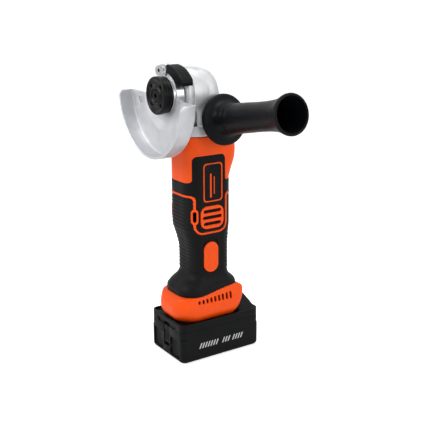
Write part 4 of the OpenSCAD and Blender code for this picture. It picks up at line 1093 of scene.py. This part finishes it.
# %% [markdown]
# ## Bearing box
# The bearing box closes the case at the front and carries the guard on its neck. It is a turned
# part with a fine step where the two castings meet, and four sunk screw holes.

# %% Bearing box
box = about_spindle("bearing_cover", [
    (-52.4, 9), (-52.4, 20.1), (-51.9, 20.7), (-40.2, 20.7), (-39.6, 21.2), (-39, 22.2),
    (-39, 29.6), (-38, 30.8), (-37, 31), (-32, 31), (-31.5, 30.3), (-31.05, 30.3), (-31.05, 25.9),
    (-25.2, 25.9), (-25.2, 16), (-34, 16), (-34, 9), (-52.4, 9)])
quarters = (45, 135, 225, 315)
for degrees in quarters:
    screw_spot = round_spindle(28, degrees)
    carve(box, rod_at("cover_bore", *screw_spot, -40, -36, 3))
    carve(box, rod_at("cover_hole", *screw_spot, -40, -24, 2, 24))
close_up(soft_edges(box, 0.25, 2, 40))
hand_over(box, "tool", silver_casting, "silver_paint", "bearing_box")

# %% [markdown]
# ## Wheel guard
# The guard is deep-drawn sheet steel: a dished hub, a flat plate, a rounded bend and a skirt with
# a small hem at its edge. Its section is spun right round and the upper half is then cut away. The
# two ends of the skirt have their corners clipped, as the real one has.

# %% Guard
guard_section = [
    (-53.7, 22.75), (-53.7, 31), (-54.1, 34), (-56.6, 41), (-57.1, 44), (-57.1, 70.2),
    (-57.7, 71.5), (-59, 72.1), (-73.8, 72.1), (-74.6, 71.5), (-75.6, 71.5), (-76.3, 72.2),
    (-76.3, 73.2), (-75.6, 73.95), (-57.6, 73.95), (-56.4, 73.4), (-55.6, 72.4), (-55.3, 71.2),
    (-55.3, 44.4), (-54.8, 41.6), (-52.3, 34.6), (-51.9, 31.4), (-51.9, 22.75), (-53.7, 22.75)]
guard = about_spindle("guard_sheet", guard_section, 160)
edit_all(guard)
lean, cut_z = math.radians(1.4), 331.2
bpy.ops.mesh.bisect(
    plane_co=mm(0, 0, cut_z), plane_no=(math.sin(lean), 0, math.cos(lean)), use_fill=True,
    clear_outer=True)
relax()
for s, z in ((-1, 333), (1, 329.4)):
    clip = [(-77, z + 3, 0), (-77, z - 5.5, 0), (-71.2, z + 1, 0), (-71.2, z + 3, 0)]
    carve(guard, on_side("corner_clip", clip, s, 60, 20))
slot = [(-54.1, 317.6, 1), (-51.5, 318.4, 1), (-54.5, 325.8, 1), (-57.1, 325.0, 1)]
carve(guard, bar("guard_slot", slot, from_front(-60), (0, 8, 0), 3))
soft_edges(guard, 0.35, 2, 38)
hand_over(guard, "guard_set", guard_paint, "zinc_steel", "guard")

# %% Neck of the guard
neck = about_spindle("guard_neck", [
    (-53.9, 21.05), (-53.9, 22.4), (-53.6, 22.6), (-40, 22.6), (-39.6, 22.2), (-39.6, 21.05),
    (-53.9, 21.05)])
smooth(neck, 30)
hand_over(neck, "guard_set", zinc_plate, "zinc_steel", "guard_collar")

# %% [markdown]
# ## Clamp of the guard
# A zinc-plated band round the neck is pulled tight by a lever. The bracket that carries the lever
# is a folded plate with two ears, a large hole and a saddle that hugs the band.

# %% Bracket
ear_line = [
    (-14.5, 350.5, 0), (-26.4, 355.2, 2.4), (-27.4, 362, 2.6), (-25, 364.8, 3), (-9.5, 368.6, 3),
    (-2.2, 368.6, 1), (-2.2, 350.5, 0)]
bush_spot, pin_spot = (-18.8, 359.9), (-9, 362.5)
ears = []
for y in (-50.2, -44.1):
    ear = bar("ear", ear_line, from_front(y), (0, 2.2, 0))
    for hole_spot, r in ((bush_spot, 2.5), (pin_spot, 1.65)):
        carve(ear, rod_at("ear_hole", *hole_spot, -55, -35, r))
    carve(ear, rod_at("band_clear", 0, spindle_z, y - 1, y + 3.2, 24.65, 96))
    ears.append(ear)
saddle = about_spindle("saddle", [
    (-50.2, 24.7), (-50.2, 26.1), (-41.9, 26.1), (-41.9, 24.7), (-50.2, 24.7)])
saddle_zone = [(-31, 351.4, 0), (-2.4, 351.4, 0), (-2.4, 362, 0), (-31, 362, 0)]
carve(saddle, bar("saddle_zone", saddle_zone, from_front(-55), (0, 20, 0)), "INTERSECT")
bracket = joined([*ears, saddle], "clamp_plate")
soft_edges(bracket, 0.3, 2, 40)
hand_over(bracket, "guard_set", zinc_plate, "zinc_steel", "clamp_bracket")
# A pin through the ears' large holes: partly a real pivot pin, but its black finish is painted
# shade that makes the holes read dark.
shade_pin = turned(
    "ear_shade_pin", [(-49.4, 0), (-49.4, 1.9), (-49.1, 2.3), (-43, 2.3), (-42.7, 1.9), (-42.7, 0)],
    mm(bush_spot[0], 0, bush_spot[1]), back_axis, side_axis, 32)
hand_over(shade_pin, "guard_set", black_oxide, "black_steel")

# %% Lever


def arc_points(r, first, last, count, *centre):
    """Points on an arc in the front view, angles in degrees from +X."""
    return [(*round_spindle(r, first + (last - first) * k / count, *centre), 0)
            for k in range(count + 1)]


back_centre = (2, 322.2)
outer_arc = arc_points(46.4, 89.4, 43.2, 14, *back_centre)
front_inner = arc_points(25.7, 29.5, 86, 12)
web_inner = arc_points(33.3, 22.5, 87, 12)
tip = [(36.6, 350.6, 2), (36.2, 346.4, 1)]
cheek = bar("lever_cheek", outer_arc + tip + front_inner, from_front(-51.9), (0, 2.5, 0))
web = bar("lever_web", outer_arc + tip + web_inner, from_front(-50), (0, 13.9, 0))
eye = rod_at("lever_eye", *pin_spot, -47.6, -44.5, 4.6, 48)
arm_line = [(-9, 364.6, 0), (3.5, 365.6, 0), (3.5, 368.4, 0), (-7, 367.3, 1)]
arm = bar("lever_arm", arm_line, from_front(-47.5), (0, 2.9, 0))
soft_edges(cheek, 0.5, 3, 40)
soft_edges(web, 0.9, 3, 40)
lever = moulded(joined([cheek, web, eye, arm], "lever_grip"), 0.42, 2)
for k in range(9):
    groove_spot = round_spindle(46.9, 84 - 4.6 * k, *back_centre)
    carve(lever, rod_at("lever_groove", *groove_spot, -50.2, -37.6, 0.85, 16))
carve(lever, rod_at("pin_hole", *pin_spot, -55, -35, 1.6))
hand_over(lever, "lever", black_shell, "black_plastic", "clamp_lever")

# %% [markdown]
# ## Flange and lock nut
# The cutting disc would sit between these two turned pieces. The nut has four holes for its pin
# wrench, a sunk face with a raised ring, and both have fine grooves round their rims.

# %% Flange and nut
backing = about_spindle("flange_ring", [
    (-60, 7.1), (-60, 19.6), (-59.5, 20.9), (-58.4, 21.3), (-57.7, 20.6), (-57, 20.6),
    (-56.3, 21.6), (-54.6, 21.9), (-54.1, 21.6), (-54.1, 20.4), (-53.1, 20.2), (-53.1, 7.1),
    (-60, 7.1)])
soft_edges(backing, 0.15, 2, 40)
hand_over(backing, "spindle_set", black_oxide, "black_steel", "backing_flange")
nut = about_spindle("nut_ring", [
    (-65.2, 7.1), (-65.2, 8.4), (-66.7, 9), (-66.7, 11.2), (-65.5, 11.9), (-65.5, 18.6),
    (-66.7, 19.4), (-66.7, 21.2), (-66.2, 22.1), (-65.4, 22.5), (-63.9, 22.5), (-63.4, 21.8),
    (-62.9, 21.8), (-62.4, 22.5), (-61, 22.5), (-60.35, 21.8), (-60.35, 7.1), (-65.2, 7.1)])
for degrees in quarters:
    carve(nut, rod_at("wrench_hole", *round_spindle(15, degrees), -68, -59, 2.5))
close_up(soft_edges(nut, 0.18, 2, 40))
hand_over(nut, "nut", black_oxide, "black_steel", "lock_nut")

# %% Lock button
button = turned(
    "lock_cap",
    [
        (-11.2, 0), (-11.2, 1.9), (-10.7, 2.4), (11.8, 2.4), (11.8, 5.2), (12.2, 5.5), (15.4, 5.5),
        (16.3, 5.0), (16.6, 4.2), (16.4, 2.2), (16.3, 0)],
    mm(-12.87, 0, 339), back_axis, side_axis, 48)
smooth(button, 40)
hand_over(button, "lock", black_shell, "black_plastic", "lock_button")

# %% [markdown]
# ## Side handle
# The side handle is one moulding screwed into the case: a broad round flange that keeps the hand
# off the guard, a slim waist, and a bell mouth with a deep cone inside. It is turned from one
# profile.

# %% Handle
handle_profile = [
    (4.6, 4.05), (4.6, 9), (5.2, 9.6), (8.6, 12), (10.2, 27.6), (10.8, 29), (12, 30), (13.8, 30.6),
    (15.4, 30.4), (16.6, 29.4), (17.3, 27.6), (18.2, 25.2), (19.6, 22.6), (21.6, 20.6),
    (24.4, 19.3), (28.6, 18.6), (33, 18.3), (33.6, 17.9), (34.4, 17.9), (35, 18.2), (40.6, 18.0),
    (41.2, 17.6), (42, 17.6), (42.6, 17.95), (60, 17.4), (61, 17.5), (80, 16.9), (92, 16.7),
    (105, 16.8), (116, 17.4), (124, 18.3), (130, 19.5), (134.6, 20.9), (138, 22.1), (140.2, 22.8),
    (142, 22.95), (143.3, 22.6), (143.9, 21.8), (143.9, 20.9), (143.2, 20.1), (141, 19.6),
    (138, 18.8), (131, 16.9), (124, 15.5), (110, 14.6), (84, 14.0), (83.6, 13.4), (83.6, 4.05),
    (4.6, 4.05)]
handle = smooth(turned("handle_moulding", handle_profile, *handle_frame(1), back_axis), 32)
hand_over(handle, "side_handle", handle_plastic, "black_plastic", "handle_grip")
